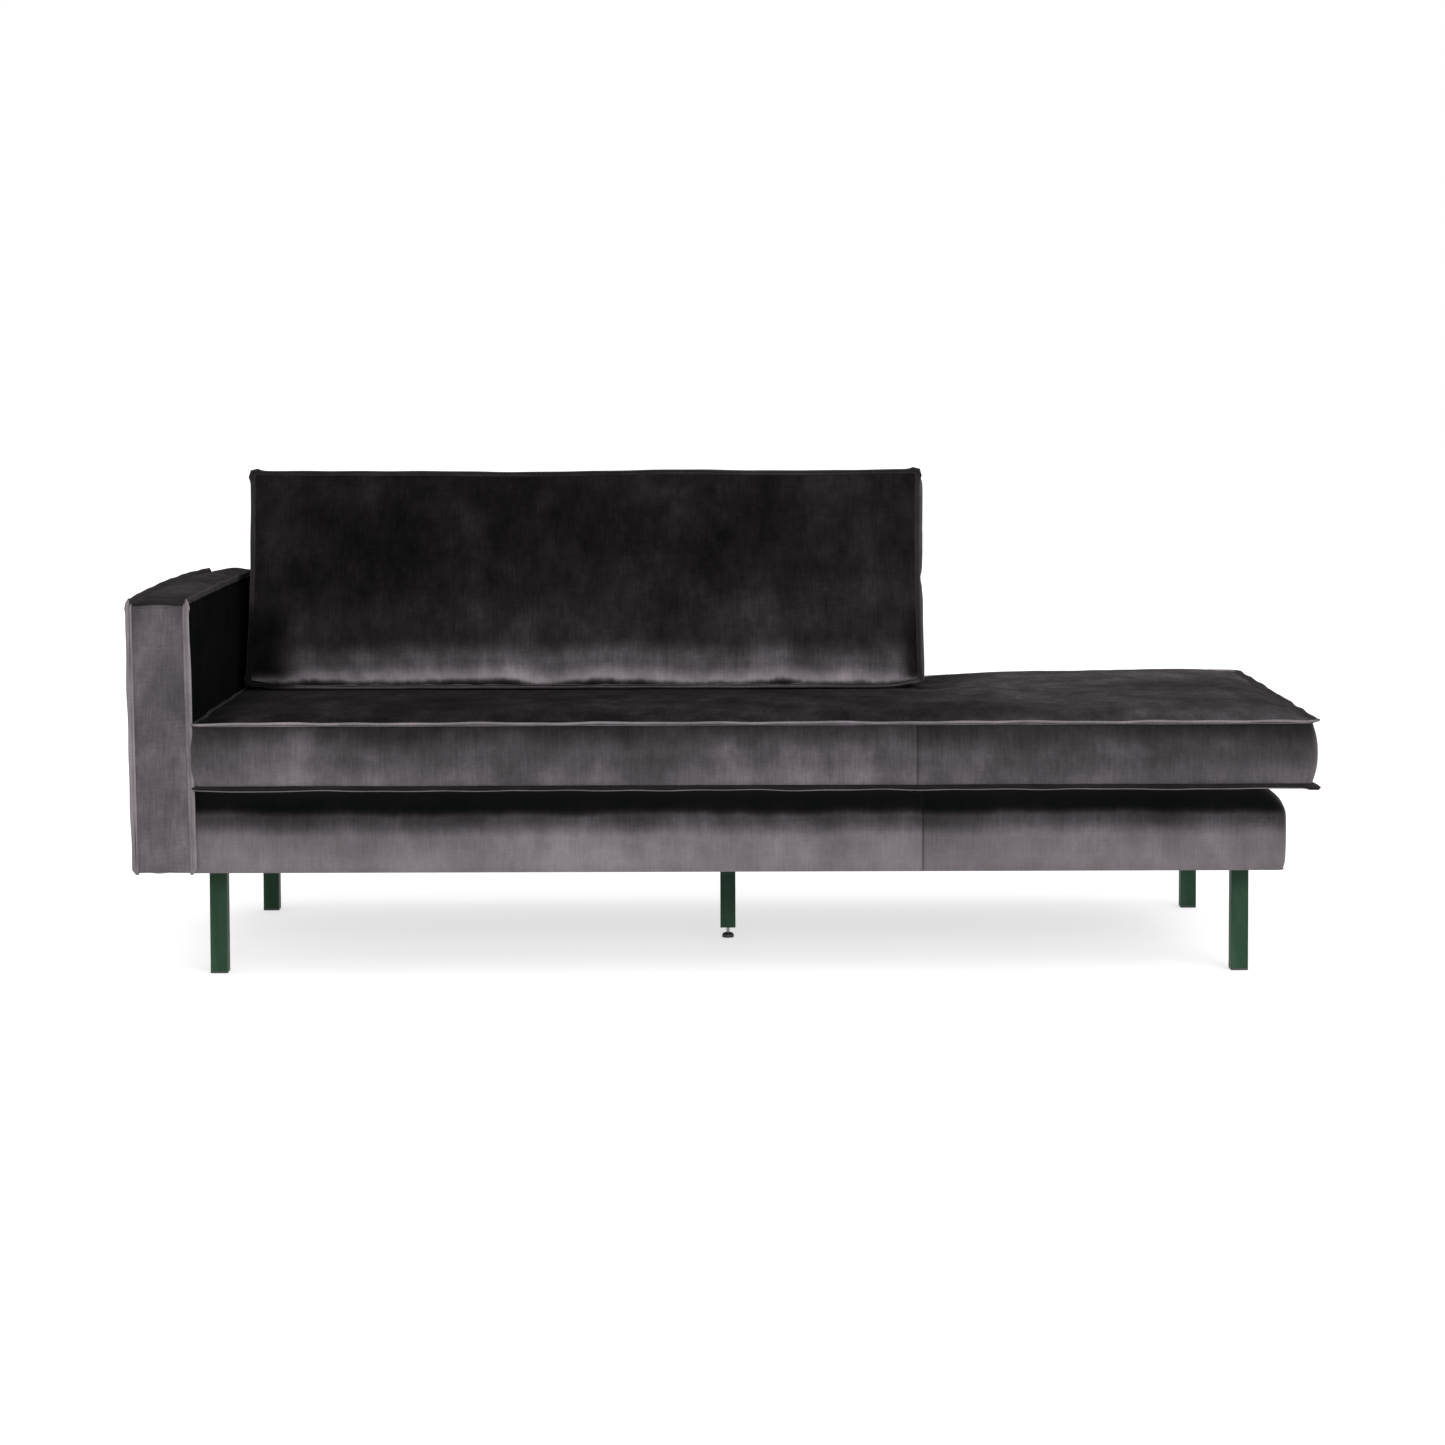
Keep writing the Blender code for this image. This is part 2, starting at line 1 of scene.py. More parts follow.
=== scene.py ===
"""The looks of the velvet daybed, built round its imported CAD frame. Metres, +Z up, front towards -Y."""
import json
import math

import bpy
import numpy as np
from mathutils import Euler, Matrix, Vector, noise


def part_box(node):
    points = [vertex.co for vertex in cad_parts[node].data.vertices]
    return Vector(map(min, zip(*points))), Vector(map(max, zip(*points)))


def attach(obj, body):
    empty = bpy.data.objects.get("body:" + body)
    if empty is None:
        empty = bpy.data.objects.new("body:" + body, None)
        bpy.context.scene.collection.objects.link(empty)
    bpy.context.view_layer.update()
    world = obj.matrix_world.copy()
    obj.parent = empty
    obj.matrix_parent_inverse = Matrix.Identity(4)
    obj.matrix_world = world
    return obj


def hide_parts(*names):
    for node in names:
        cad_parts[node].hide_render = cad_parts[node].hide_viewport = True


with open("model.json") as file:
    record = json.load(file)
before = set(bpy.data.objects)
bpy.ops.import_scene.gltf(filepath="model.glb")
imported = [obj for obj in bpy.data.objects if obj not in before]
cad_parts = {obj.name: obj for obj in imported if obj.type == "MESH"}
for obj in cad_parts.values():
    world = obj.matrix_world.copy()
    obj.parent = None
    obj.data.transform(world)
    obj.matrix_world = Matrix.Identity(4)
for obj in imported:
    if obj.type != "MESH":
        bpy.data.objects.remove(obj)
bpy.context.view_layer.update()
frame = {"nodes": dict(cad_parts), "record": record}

# ---- sizes of the sewn work ----
FIN_WIDTH = 0.0105      # the flange that stands out of every sewn edge
FIN_THICKNESS = 0.0046
FIN_ROOT = 0.003        # how deep a flange starts inside its seam
SEAT_JOIN = 0.333       # x of the sewn join in the seat cushion's front band
BASE_JOIN = 0.343       # and in the base's front
FINE_CELL = 0.0065      # cloth cells beside an edge
COARSE_CELL = 0.0165    # and in the middle of the seat's panels
SEAM_LINES = (-0.006, -0.003, -0.0015, 0.0, 0.0015, 0.003, 0.006)   # grid lines beside a sewn join
PUFF_FRAMES = 18        # how long the cushions blow up for
VELVET_TINT = (1.0, 0.885, 0.955)
SHADE_TINT = (0.50, 1.0, 0.70)      # a painted green-black cast for cloth in deep painted shade
SHADE_RANGE = (-9.1, -8.4)          # where that cast fades, in powers of two of the cloth's painted paleness
DEEPEST_PAINTED_SHADE = 0.0024                # the tone of a painted shadow, the darkest painted shade
CORDS = ((380.0, 26.0, 26.0), (26.0, 380.0, 26.0))  # fine upright cords, on front faces and on side faces
BACK_FOOT_REAR = 0.262              # y of the back cushion's rear face at its foot
BACK_THICKNESS = 0.155              # of the back cushion's boxing
BACK_LEAN_RUN = 0.085               # how far the back cushion's front leans back from foot to top
BASE_RADIUS = 0.038                 # the base's soft top edge
BASE_CORNER = 0.014                 # its upright corners, below that edge
DECK_BORDER = 0.085                 # how wide the velvet is round the deck cloth
ZIP_PITCH = 0.0032
STAPLE = (0.011, 0.0012, 0.0008)    # length, width and height
STAPLE_STEP = 0.062
TOOTH = (0.0018, 0.0030, 0.0010)    # and of a zip's tooth


# ---- materials ----
class Nodes:
    """Short ways to add shader nodes to one material."""

    def __init__(self, material):
        self.tree = material.node_tree
        self.shader = self.tree.nodes["Principled BSDF"]

    def add(self, kind, settings=None, **inputs):
        node = self.tree.nodes.new("ShaderNode" + kind)
        for key, value in (settings or {}).items():
            setattr(node, key, value)
        for key, value in inputs.items():
            self.feed(node.inputs[key.replace("_", " ")], value)
        return node

    def feed(self, socket, value):
        if isinstance(value, bpy.types.NodeSocket):
            self.tree.links.new(value, socket)
        else:
            socket.default_value = value

    def put(self, name, value):
        """Feeds one of the shader's own sockets."""
        self.feed(self.shader.inputs[name], value)

    def math(self, operation, *values, kind="Math"):
        node = self.add(kind, {"operation": operation})
        sockets = [node.inputs[0], node.inputs["Scale"]] if operation == "SCALE" else node.inputs
        for socket, value in zip(sockets, values):
            self.feed(socket, value)
        return node.outputs[0]

    def vector(self, operation, *values):
        return self.math(operation, *values, kind="VectorMath")

    def axis(self, vector, name):
        return self.add("SeparateXYZ", Vector=vector).outputs[name]

    def place(self):
        return self.add("TexCoord").outputs["Object"]

    def stretched(self, scale, at=None):
        return self.add("Mapping", Vector=at or self.place(), Scale=scale).outputs[0]

    def noise(self, at, scale, detail=3.0, roughness=0.5):
        node = self.add("TexNoise", Vector=at, Scale=scale, Detail=detail, Roughness=roughness)
        return node.outputs["Fac"]

    def remap(self, value, low, high, new_low, new_high, shape="LINEAR"):
        limits = {"From_Min": low, "From_Max": high, "To_Min": new_low, "To_Max": new_high}
        return self.add("MapRange", {"interpolation_type": shape}, Value=value, **limits).outputs[0]

    def spread(self, pattern, low, high):
        """Stretches what a noise pattern mostly gives, 0.3 to 0.7, over low to high."""
        return self.remap(pattern, 0.3, 0.7, low, high)

    def ramp(self, value, stops):
        """A number that eases from each (place, number) stop to the next along value."""
        total = stops[0][1]
        for (start, before), (end, after) in zip(stops, stops[1:]):
            total = self.math("ADD", total, self.remap(value, start, end, 0.0, after - before, "SMOOTHSTEP"))
        return total

    def choose(self, factor, first, second):
        """A number between first, at factor 0, and second, at factor 1."""
        return self.math("ADD", first, self.math("MULTIPLY", factor, self.math("SUBTRACT", second, first)))

    def blend(self, factor, first, second):
        node = self.add("Mix", {"data_type": "RGBA"})
        self.feed(node.inputs["Factor"], factor)
        for socket, colour in zip([s for s in node.inputs if s.type == "RGBA"], (first, second)):
            self.feed(socket, (*colour, 1.0) if isinstance(colour, tuple) else colour)
        return [s for s in node.outputs if s.type == "RGBA"][0]

    def bump(self, height, distance, strength=1.0, normal=None):
        node = self.add("Bump", Height=height, Distance=distance, Strength=strength)
        if normal:
            self.feed(node.inputs["Normal"], normal)
        return node.outputs[0]


def new_material(name, colour, roughness, metallic=0.0):
    material = bpy.data.materials.new(name)
    material.use_nodes = True
    nodes = Nodes(material)
    nodes.put("Base Color", (*colour, 1.0))
    nodes.put("Roughness", roughness)
    nodes.put("Metallic", metallic)
    return material, nodes


def velvet(name, stops, seed=0.0, field="Z", wander=0.0, sheen=0.2, glow=0.42, join=None, nook=()):
    """Short-pile velvet, with painted light and shade in its base colour: one cloth made paler where light
    would fall on it and darker where shade would.

    stops are (where, how pale from 0 to 1, how mottled) along the field: a height "Z", a length "X", or with
    "normal Y" and "normal Z" the way that the cloth faces, so that faces are painted lit or shaded by their
    facing.
    wander blurs where one tone turns into the next. join is (x, how many times two paler) for the cloth on
    the left of a sewn join. The last argument is a painted shadow, (axis, stops of how much, from 0 to 1) for
    each axis, that darkens the cloth to its deepest painted shade where the arm and the cushions would shade
    it.
    """
    material, n = new_material(name, VELVET_TINT, 0.85)
    place = n.place()
    at = n.vector("ADD", place, (seed, seed * 0.6, -seed))
    facing = n.add("NewGeometry").outputs["Normal"]
    streaky_noise = n.noise(n.stretched((7.0, 3.0, 3.0), at), 1.0, 6.0, 0.6)
    along = n.axis(facing if field.startswith("normal") else place, field[-1])
    along = n.math("ADD", along, n.spread(streaky_noise, -wander, wander))
    # Painted light and shade: the tone eases from stop to stop along the field.
    tone = n.ramp(along, [(where, math.log2(pale)) for where, pale, _ in stops])
    mottled = n.ramp(along, [(where, amount) for where, _, amount in stops])
    if join:
        from_join = n.math("SUBTRACT", n.axis(place, "X"), join[0])
        tone = n.math("ADD", tone, n.remap(from_join, -0.0006, 0.0006, join[1], 0.0))
        tone = n.math("ADD", tone, n.remap(n.math("ABSOLUTE", from_join), 0.0004, 0.0024, -0.9, 0.0))
    # Painted shadow in the corners by the arm and the cushions: the tone blends towards the deepest painted
    # shade.
    if nook:
        shadow_share = 1.0
        for axis, shares in nook:
            blurred = n.math("ADD", n.axis(place, axis), n.spread(streaky_noise, -0.01, 0.01))
            shadow_share = n.math("MULTIPLY", shadow_share, n.ramp(blurred, shares))
        tone = n.choose(shadow_share, tone, math.log2(DEEPEST_PAINTED_SHADE))
    patches = n.noise(at, 8.0, 6.0, 0.62)
    sideways = n.math("GREATER_THAN", n.math("ABSOLUTE", n.axis(facing, "X")), 0.7)
    cords = n.choose(sideways, *(n.noise(n.stretched(cord, at), 1.0, 3.0, 0.7) for cord in CORDS))
    patterns = (
        (n.noise(at, 2.6, 3.0), 0.55), (patches, 0.70),
        (n.noise(n.stretched((24.0, 13.0, 13.0), at), 1.0, 5.0, 0.64), 0.42),
        (cords, 0.30), (n.noise(n.stretched((40.0, 40.0, 420.0), at), 1.0, 2.0, 0.6), 0.16),
    )
    ruffle = 0.0
    for pattern, amount in patterns:
        ruffle = n.math("ADD", ruffle, n.spread(pattern, -amount, amount))
    stops_up = n.math("ADD", tone, n.math("MULTIPLY", ruffle, mottled))
    # Painted shade: the darkest cloth takes a green-black cast.
    tint = n.blend(n.remap(stops_up, *SHADE_RANGE, 0.0, 1.0), SHADE_TINT, VELVET_TINT)
    n.put("Base Color", n.vector("SCALE", tint, n.math("POWER", 2.0, stops_up)))
    fuzz = n.noise(at, 1100.0, 2.0, 0.7)
    height = n.math("ADD", n.math("MULTIPLY", cords, 0.6), n.math("MULTIPLY", fuzz, 0.4))
    soft = n.bump(n.math("MULTIPLY", patches, 0.5), 0.004, 0.5)
    n.put("Normal", n.bump(height, 0.0006, 0.5, soft))
    n.put("Sheen Weight", sheen)
    n.put("Sheen Roughness", glow)
    n.put("Sheen Tint", (0.97, 0.905, 0.945, 1.0))
    n.put("Specular IOR Level", 0.0)
    return material


def powder_coat():
    material, n = new_material("green_powder_coat", (0.016, 0.042, 0.024), 0.5)
    at = n.place()
    scuffs = n.noise(n.stretched((60.0, 60.0, 14.0), at), 1.0, 5.0, 0.65)
    colour = n.blend(n.remap(scuffs, 0.35, 0.75, 0.0, 1.0), (0.010, 0.030, 0.016), (0.016, 0.041, 0.024))
    worn_edge = n.remap(n.add("NewGeometry").outputs["Pointiness"], 0.53, 0.60, 0.0, 0.5)
    n.put("Base Color", n.blend(worn_edge, colour, (0.05, 0.09, 0.06)))
    n.put("Roughness", n.spread(scuffs, 0.46, 0.58))
    n.put("Specular IOR Level", 0.10)
    n.put("Normal", n.bump(n.noise(at, 700.0, 2.0), 0.0002, 0.5))   # orange peel
    return material


def grained_wood(name, pale, dark):
    material, n = new_material(name, pale, 0.6)
    at = n.place()
    grain = n.noise(n.stretched((3.0, 45.0, 45.0), at), 1.0, 6.0, 0.6)
    pores = n.noise(n.stretched((40.0, 700.0, 700.0), at), 1.0, 2.0)
    n.put("Base Color", n.blend(n.spread(grain, 0.0, 1.0), pale, dark))
    n.put("Roughness", n.spread(grain, 0.5, 0.72))
    n.put("Normal", n.bump(pores, 0.0003, 0.5))
    return material


def open_foam():
    material, n = new_material("cut_foam", (0.80, 0.76, 0.62), 0.9)
    cells = n.add("TexVoronoi", Vector=n.place(), Scale=900.0).outputs["Distance"]
    yellowing = n.noise(n.place(), 5.0)
    n.put("Base Color", n.blend(yellowing, (0.83, 0.79, 0.66), (0.72, 0.66, 0.48)))
    n.put("Normal", n.bump(cells, 0.0008, 0.7))
    return material


def bright_metal(name, colour, roughness):
    material, n = new_material(name, colour, roughness, 1.0)
    streaky_noise = n.noise(n.stretched((900.0, 900.0, 60.0)), 1.0, 2.0)
    n.put("Roughness", n.spread(streaky_noise, roughness * 0.75, roughness * 1.3))
    n.put("Normal", n.bump(streaky_noise, 0.0001, 0.4))
    return material


def moulded_plastic():
    material, n = new_material("moulded_plastic", (0.012, 0.016, 0.014), 0.5)
    texture = n.noise(n.place(), 1500.0, 2.0)
    n.put("Roughness", n.spread(texture, 0.42, 0.6))
    n.put("Normal", n.bump(texture, 0.0002, 0.5))
    return material


def felted_lining():
    material, n = new_material("felted_lining", (0.018, 0.018, 0.019), 0.95)
    fibres = n.noise(n.stretched((300.0, 300.0, 300.0)), 1.0, 4.0, 0.7)
    dimples = n.add("TexVoronoi", Vector=n.place(), Scale=420.0).outputs["Distance"]
    n.put("Base Color", n.blend(fibres, (0.010, 0.010, 0.011), (0.040, 0.040, 0.042)))
    n.put("Normal", n.bump(dimples, 0.0005, 0.6))
    return material


def deck_lining():
    material, n = new_material("deck_lining", (0.020, 0.019, 0.020), 0.9)
    at = n.place()
    warp, weft = (
        n.add("TexWave", {"bands_direction": axis}, Vector=at, Scale=210.0, Distortion=0.4).outputs["Fac"]
        for axis in "XY")
    weave = n.math("MULTIPLY", warp, weft)
    shade = n.choose(0.5, weave, n.noise(at, 4.0))
    n.put("Base Color", n.blend(shade, (0.012, 0.012, 0.013), (0.036, 0.034, 0.035)))
    n.put("Normal", n.bump(weave, 0.0004, 0.8))
    return material


def woven_tape():
    material, n = new_material("woven_tape", (0.05, 0.045, 0.05), 0.85)
    ribs = n.add("TexWave", {"bands_direction": "X"}, Vector=n.place(), Scale=160.0).outputs["Fac"]
    n.put("Base Color", n.blend(ribs, (0.030, 0.027, 0.030), (0.075, 0.068, 0.075)))
    n.put("Normal", n.bump(ribs, 0.0004, 0.7))
    return material


# ---- cloth grids ----
def spaced(stops, coarse, margin):
    """Grid lines through every stop: fine within a margin of it, coarse in between."""
    lines = [stops[0]]
    for low, high in zip(stops, stops[1:]):
        middle = high - low - 2 * margin
        beside = (margin, FINE_CELL)
        parts = [(high - low, FINE_CELL)] if middle <= 0 else [beside, (middle, coarse), beside]
        for size, cell in parts:
            count = max(1, round(size / cell))
            lines += [lines[-1] + size / count * (k + 1) for k in range(count)]
    return np.array(lines)


def with_seam(lines, seam):
    """Grid lines with a close bunch of them across a sewn join."""
    bunch = seam + np.array(SEAM_LINES)
    return np.unique(np.round(np.concatenate([lines[abs(lines - seam) > 0.008], bunch]), 6))


def unit(vectors):
    return vectors / np.linalg.norm(vectors, axis=1)[:, None]


def bell(offset, width):
    """1 at no offset, and next to nothing at twice the width."""
    return np.exp(-(offset / width) ** 2)


class Boxed:
    """A sewn box of cloth: a low and a high panel of square cells, joined by a band of layers.

    uv is each point's place in the panels' plane, and rise goes from 0 on the low panel to 1 on the high one.
    """

    def __init__(self, us, vs, inside, layers):
        middles_u, middles_v = (us[1:] + us[:-1]) / 2, (vs[1:] + vs[:-1]) / 2
        cells = {(i, j) for i, u in enumerate(middles_u) for j, v in enumerate(middles_v) if inside(u, v)}
        corners = sorted({(i + a, j + b) for i, j in cells for a in (0, 1) for b in (0, 1)})
        index = {corner: k for k, corner in enumerate(corners)}
        count = len(corners)
        after = {}
        for i, j in cells:
            sides = (
                ((i, j), (i + 1, j), (i, j - 1)), ((i + 1, j), (i + 1, j + 1), (i + 1, j)),
                ((i + 1, j + 1), (i, j + 1), (i, j + 1)), ((i, j + 1), (i, j), (i - 1, j)),
            )
            after.update({start: end for start, end, beyond in sides if beyond not in cells})
        loop = [min(after)]
        while after[loop[-1]] != loop[0]:
            loop.append(after[loop[-1]])
        size = len(loop)
        rings = [[index[c] for c in loop]]
        rings += [[2 * count + k * size + m for m in range(size)] for k in range(layers - 1)]
        rings.append([count + index[c] for c in loop])
        self.faces = []
        for i, j in sorted(cells):
            quad = [index[c] for c in ((i, j), (i + 1, j), (i + 1, j + 1), (i, j + 1))]
            self.faces += [quad[::-1], [k + count for k in quad]]
        for lower, upper in zip(rings, rings[1:]):
            for m in range(size):
                n = (m + 1) % size
                self.faces.append([lower[m], lower[n], upper[n], upper[m]])
        panel = np.array([(us[i], vs[j]) for i, j in corners])
        self.edge = np.array([(us[i], vs[j]) for i, j in loop])
        self.uv = np.vstack([panel, panel] + [self.edge] * (layers - 1))
        middle_layers = [np.full(size, k / layers) for k in range(1, layers)]
        self.rise = np.concatenate([np.zeros(count), np.ones(count)] + middle_layers)
        self.panel_faces = 2 * len(cells)
        self.low_ring, self.high_ring = np.array(rings[0]), np.array(rings[-1])
        self.on_band = np.concatenate([np.zeros(2 * count, bool), np.ones(size * (layers - 1), bool)])
        self.distance = self.to_edge()
        self.outward = self.edge_normals()
        self.seams = np.unique(np.concatenate([self.low_ring, self.high_ring]))
        self.bulge = np.sin(math.pi * self.rise) ** 0.8 * self.on_band      # 1 halfway up the band
        self.by_seam = (np.abs(self.rise - 0.5) * 2) ** 1.5 * self.on_band  # 1 where the band meets a panel

    def lifted(self, depth, lift):
        """The move along lift that each point makes for its depth. The seams stay where they are."""
        depth[self.seams] = 0
        return lift * depth[:, None]

    def shoulder(self, reach):
        """How a panel rises from 0 at its edge to 1, most of it within a reach."""
        return (1 - np.exp(-self.distance / reach)) * ~self.on_band

    def near_edge(self, reach):
        """1 beside the outline, fading within a reach of it. The outline itself is left out."""
        return np.exp(-self.distance / reach) * (self.distance > 1e-6)

    def to_edge(self):
        """How far each point is from the outline."""
        best = np.full(len(self.uv), np.inf)
        for start, end in zip(self.edge, np.roll(self.edge, -1, axis=0)):
            along, away = end - start, self.uv - start
            share = np.clip((away @ along) / (along @ along), 0, 1)
            best = np.minimum(best, np.linalg.norm(away - share[:, None] * along, axis=1))
        return best

    def edge_normals(self):
        """The outline's outward direction at the outline point nearest to each point."""
        before = self.edge - np.roll(self.edge, 1, axis=0)
        after = np.roll(self.edge, -1, axis=0) - self.edge
        normals = unit(sum(unit(np.stack([d[:, 1], -d[:, 0]], 1)) for d in (before, after)))
        return normals[[np.argmin(((self.edge - point) ** 2).sum(1)) for point in self.uv]]


def round_corner(uv, corner, inward, radius):
    """Bends the square corner of a grid into a quarter circle."""
    local = (uv - corner) * inward
    near = (local < radius - 1e-9).all(axis=1)
    share = 1 - local[near] / radius
    bent = share * np.sqrt(1 - share[:, ::-1] ** 2 / 2)
    uv[near] = corner + radius * (1 - bent) * inward


def ripple(along, wavelengths, seed):
    """A smooth random wave about 1 high, the same each run."""
    generator = np.random.default_rng(seed)
    total = np.zeros_like(along)
    for wavelength in wavelengths:
        total += np.sin(2 * math.pi * along / wavelength + generator.uniform(0, 2 * math.pi))
    return total / math.sqrt(len(wavelengths))


def cloudy(points, scale, seed=0.0):
    """Smooth 3-D noise from -1 to 1 at each point."""
    shift = Vector((seed, seed * 0.7, -seed))
    return np.array([noise.noise(Vector(p) * scale + shift) for p in points.tolist()])


def placed(name, data, place=(0.0, 0.0, 0.0), turn=(0.0, 0.0, 0.0)):
    """A new object in the scene."""
    item = bpy.data.objects.new(name, data)
    item.location, item.rotation_euler = place, turn
    bpy.context.scene.collection.objects.link(item)
    return item


def mesh_object(name, points, faces, *materials):
    mesh = bpy.data.meshes.new(name)
    mesh.from_pydata(np.asarray(points).tolist(), [], [list(map(int, f)) for f in faces])
    mesh.validate()
    mesh.shade_smooth()
    for material in materials:
        mesh.materials.append(material)
    return placed(name, mesh)


def boxed_piece(name, points, cloth, low, high, band, *others):
    """A sewn box with a velvet each for its low panel, its high panel and its band."""
    piece = mesh_object(name, points, cloth.faces, low, high, band, *others)
    which = np.full(len(piece.data.polygons), 2, np.int32)
    which[:cloth.panel_faces:2] = 0
    which[1:cloth.panel_faces:2] = 1
    piece.data.polygons.foreach_set("material_index", which)
    return piece


def points_of(mesh, what="co"):
    flat = np.empty(len(mesh.vertices) * 3)
    mesh.vertices.foreach_get(what, flat)
    return flat.reshape(-1, 3)


def move_points(piece, points):
    piece.data.vertices.foreach_set("co", np.asarray(points).ravel())
    piece.data.update()


def puff(piece, held, pressure, slack, cap):
    """Blows the cloth up between its held points, by less than the cap, with slack so that it wrinkles."""
    start = points_of(piece.data)
    group = piece.vertex_groups.new(name="held")
    group.add([int(k) for k in held], 1.0, "REPLACE")
    modifier = piece.modifiers.new("Cloth", "CLOTH")
    cloth = modifier.settings
    cloth.quality = 4
    cloth.mass = 0.25
    cloth.tension_stiffness = cloth.compression_stiffness = 18.0
    cloth.shear_stiffness = 6.0
    cloth.bending_stiffness = 0.35
    cloth.use_pressure = True
    cloth.uniform_pressure_force = pressure
    cloth.shrink_min = -slack
    cloth.vertex_group_mass = "held"
    cloth.effector_weights.gravity = 0.0
    modifier.collision_settings.use_collision = False
    modifier.point_cache.frame_start = 1
    modifier.point_cache.frame_end = PUFF_FRAMES
    scene = bpy.context.scene
    for number in range(1, PUFF_FRAMES + 1):
        scene.frame_set(number)
    graph = bpy.context.evaluated_depsgraph_get()
    blown = points_of(piece.evaluated_get(graph).to_mesh())
    piece.evaluated_get(graph).to_mesh_clear()
    piece.modifiers.remove(modifier)
    piece.vertex_groups.remove(group)
    scene.frame_set(1)
    step = blown - start
    length = np.linalg.norm(step, axis=1)[:, None]
    capped = cap * np.tanh(length / cap)
    move_points(piece, start + step / np.maximum(length, 1e-9) * capped)


def smooth_surface(piece, points, *creased):
    """Moves the points to their last places and smooths between them, with the seam rings kept as creases."""
    move_points(piece, points)
    if len(creased):
        pairs = {frozenset((int(a), int(b))) for ring in creased for a, b in zip(ring, np.roll(ring, -1))}
        crease = piece.data.attributes.new("crease_edge", "FLOAT", "EDGE")
        for edge in piece.data.edges:
            if frozenset(edge.vertices) in pairs:
                crease.data[edge.index].value = 0.8
    modifier = piece.modifiers.new("Subdivision", "SUBSURF")
    modifier.levels = modifier.render_levels = 1


def ears(uv, corners, reach=0.7):
    """How much longer a flange grows at its sewn corners, where it stands out in a point."""
    nearest = np.min([np.linalg.norm(uv - corner, axis=1) for corner in corners], axis=0)
    return 1 + reach * bell(nearest, 0.011)


def fin(name, path, outward, across, material, seed, swell, closed=True):
    """A flange sewn along a seam: a flat, slightly wavy strip of doubled cloth with a rounded edge.

    outward is where the strip heads from each point of the path, across is the way that its thickness lies,
    and swell is how much wider than usual it is at each point. One that is not closed tapers at both ends.
    """
    outward, across = unit(outward), np.array(across, float)
    steps = np.linalg.norm(np.roll(path, -1, axis=0) - path, axis=1)
    along = np.concatenate([[0], np.cumsum(steps)[:-1]])
    sway = math.radians(6.5) * ripple(along, (0.31, 0.19, 0.105), seed)
    swell = swell * (1 + 0.05 * ripple(along, (0.23, 0.11), seed + 50))
    heading = unit(outward * np.cos(sway)[:, None] + across * np.sin(sway)[:, None])
    thick = unit(across - heading * (across * heading).sum(1)[:, None])
    half, width = FIN_THICKNESS / 2, FIN_WIDTH
    # (reach from the seam, half thickness there): the stitch line nips the strip near its root.
    stitched = [(-FIN_ROOT, half * 0.9), (0.0016, half * 0.8), (0.0026, half * 0.45), (0.0036, half * 0.85)]
    section = [(reach, -side) for reach, side in stitched] + [(width - 1.1 * half, -half)]
    section += [(width - half + half * math.sin(a), -half * math.cos(a)) for a in (0.6, 1.2, 1.94, 2.54)]
    section += [(width - 1.1 * half, half)] + stitched[::-1]
    rows = []
    taper = np.ones(len(path))
    if not closed:
        from_end = np.minimum(along, along[-1] - along)
        taper = np.sqrt(1 - np.clip(1 - from_end / 0.011, 0, 0.97) ** 2)
    for reach, side in section:
        stretch = np.where(reach > 0, reach * swell * taper, reach)
        rows.append(path + heading * stretch[:, None] + thick * (side * taper)[:, None])
    points = np.stack(rows, 1).reshape(-1, 3)
    size, count = len(section), len(path)
    faces = []
    for m in range(count if closed else count - 1):
        n = (m + 1) % count
        for k in range(size):
            q = (k + 1) % size
            faces.append([m * size + k, n * size + k, n * size + q, m * size + q])
    if not closed:
        faces += [list(range(size))[::-1], [(count - 1) * size + k for k in range(size)]]
    return mesh_object(name, points, faces, material)


